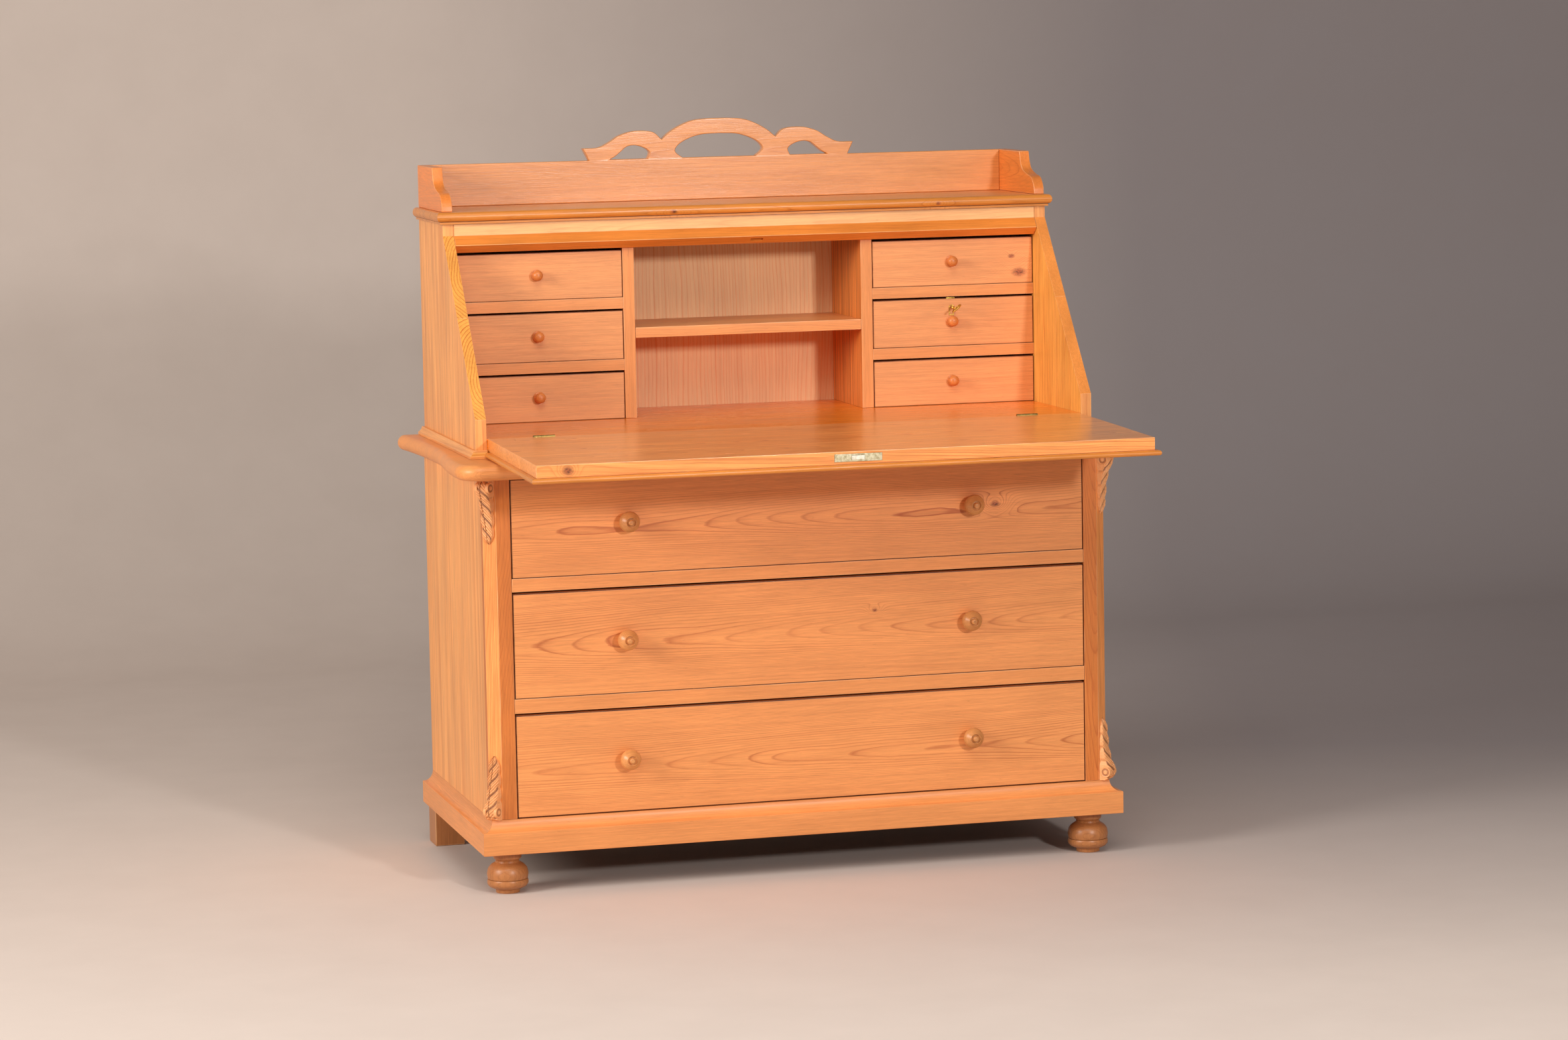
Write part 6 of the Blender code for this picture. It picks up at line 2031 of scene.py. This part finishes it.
@dataclass
class Studio:
    """The floor, backdrop, lamps and camera."""

    floor: Triple = (225, 210, 200)
    wall: Triple = (220, 205, 195)
    # The shade is a painted shade: the backdrop darkens towards it further back and to the right.
    shade: Triple = (160, 150, 150)
    shade_depths: Pair = (-1.0, 1.2)
    shade_reach: Pair = (-1.0, 1.0)
    skew: float = 0.27
    lamps: tuple[Lamp, ...] = (
        Lamp("key", (1.25, -5.6, 2.1), (0.0, -0.2, 0.7), 0.4, 122.0, (1.0, 0.98, 0.95)),
        Lamp("fill", (-5.1, -2.0, 2.4), (0.0, 0.0, 0.7), 1.8, 208.0, (1.0, 0.97, 0.91)),
        Lamp("overhead", (-1.0, -3.4, 4.2), (0.0, -1.0, 0.0), 3.0, 104.0, (1.0, 0.98, 0.94)))
    room: Triple = (238, 232, 228)
    room_strength: float = 0.195
    floor_front: float = -14.0
    floor_end: float = 2.6
    sweep_radius: float = 1.2
    wall_top: float = 9.0
    half_width: float = 16.0
    eye: Triple = (-2.0306, -7.51865, 1.5307)
    lens: float = 102.93
    yaw: float = math.radians(15.0945)
    pitch: float = math.radians(-6.7467)
    roll: float = math.radians(-1.0442)

    def build(self) -> None:
        """Build the studio round the desk."""
        self.build_backdrop()
        for lamp in self.lamps:
            self.hang(lamp)
        world = bpy.data.worlds.new("surroundings")
        bpy.context.scene.world = world
        world.use_nodes = True
        sky = world.node_tree.nodes["Background"]
        sky.inputs["Color"].default_value = linear(self.room)
        sky.inputs["Strength"].default_value = self.room_strength
        self.build_camera()
        LOG.info("studio: floor, backdrop, lamps and camera")

    def build_backdrop(self) -> None:
        """Build one sweep from the floor up to the wall."""
        radius = self.sweep_radius
        profile = [(self.floor_front, 0.0), (self.floor_end, 0.0),
                   *arc((self.floor_end, radius), (radius, radius), -QUARTER, 0.0, 12)[1:],
                   (self.floor_end + radius, self.wall_top)]
        vertices = [(x, y, z) for y, z in profile for x in (-self.half_width, self.half_width)]
        faces = [(2 * i, 2 * i + 1, 2 * i + 3, 2 * i + 2) for i in range(len(profile) - 1)]
        mesh = bpy.data.meshes.new("backdrop")
        mesh.from_pydata(vertices, [], faces)
        mesh.polygons.foreach_set("use_smooth", [True] * len(mesh.polygons))
        mesh.materials.append(self.paint())
        sweep = linked("backdrop", mesh)

    def paint(self) -> Material:
        """Build the backdrop's paint, with a painted shade to the right and further back, and clear to
        a camera behind it.
        """
        graph = Graph("backdrop_paint")
        place = graph.node("ShaderNodeTexCoord").outputs["Object"]
        across, deep, _ = graph.node("ShaderNodeSeparateXYZ", place).outputs
        level = graph.plus(deep, graph.times(across, self.skew))
        shift = graph.maths("SUBTRACT", across, graph.times(deep, self.skew))
        rise = graph.range(level, *self.shade_depths, 0.0, 1.0)
        # Painted shade on the backdrop, growing further back and to the right.
        painted_shade_share = graph.times(rise, graph.range(shift, *self.shade_reach, 0.0, 1.0))
        colour = graph.mix(rise, linear(self.floor), linear(self.wall))
        colour = graph.mix(painted_shade_share, colour, linear(self.shade))
        speck = graph.noise(place, 6.0, 4.0, 0.6)
        colour = graph.mix(graph.range(speck, 0.3, 0.7, 0.0, 0.06), colour, linear((150, 130, 118)))
        graph.feed_all(graph.shader, {"Base Color": colour, "Roughness": 0.85})
        behind = graph.times(graph.node("ShaderNodeNewGeometry").outputs["Backfacing"],
                             graph.node("ShaderNodeLightPath").outputs["Is Camera Ray"])
        clear = graph.node("ShaderNodeBsdfTransparent").outputs[0]
        see_through = graph.node("ShaderNodeMixShader", behind, graph.shader.outputs[0], clear)
        graph.feed(graph.surface, see_through.outputs[0])
        return graph.material

    def hang(self, lamp: Lamp) -> None:
        """Add a lamp.

        Args:
            lamp: what it is like and where it hangs.
        """
        data = bpy.data.lights.new(lamp.name, "AREA")
        data.size = lamp.size
        data.energy = lamp.power
        data.color = lamp.colour
        made = linked(lamp.name, data)
        made.location = lamp.place
        aim = Vector(lamp.aim) - Vector(lamp.place)
        made.rotation_euler = aim.to_track_quat("-Z", "Y").to_euler()

    def build_camera(self) -> None:
        """Build the camera at the photograph's viewing angle."""
        ahead = Vector((math.sin(self.yaw) * math.cos(self.pitch),
                        math.cos(self.yaw) * math.cos(self.pitch), math.sin(self.pitch)))
        level = Vector((math.cos(self.yaw), -math.sin(self.yaw), 0.0))
        upward = level.cross(ahead)
        right = level * math.cos(self.roll) + upward * math.sin(self.roll)
        up = upward * math.cos(self.roll) - level * math.sin(self.roll)
        data = bpy.data.cameras.new("camera")
        data.lens = self.lens
        data.sensor_width = 36.0
        data.sensor_fit = "HORIZONTAL"
        data.clip_end = 60.0
        camera = linked("camera", data)
        turn = Matrix((right, up, -ahead)).transposed().to_4x4()
        camera.matrix_world = Matrix.Translation(self.eye) @ turn
        bpy.context.scene.camera = camera


def main() -> None:
    """Build the desk piece by piece, then its studio."""
    logging.basicConfig(level=logging.INFO, format="%(name)s: %(message)s")
    bpy.context.scene.view_settings.view_transform = "Standard"
    finishes = Finishes()
    shop = (Timber(31), finishes)
    slope = Slope()
    for kind in (Plinth, Feet, LowerCase, WaistBoard):
        kind(*shop).build()
    for side, word in SIDES:
        for above in (True, False):
            Corbel(*shop, word, side, above).build()
    LOG.info("corbels: four carved scrolls")
    UpperCase(*shop, slope).build()
    FallFront(*shop, slope).build()
    Hinges().build(finishes)
    TopAndGallery(*shop, slope).build()
    Nests(*shop, slope).build()
    Drawers(*shop).build()
    KeyAndLock().build(finishes)
    Studio().build()


if __name__ == "__main__":
    main()
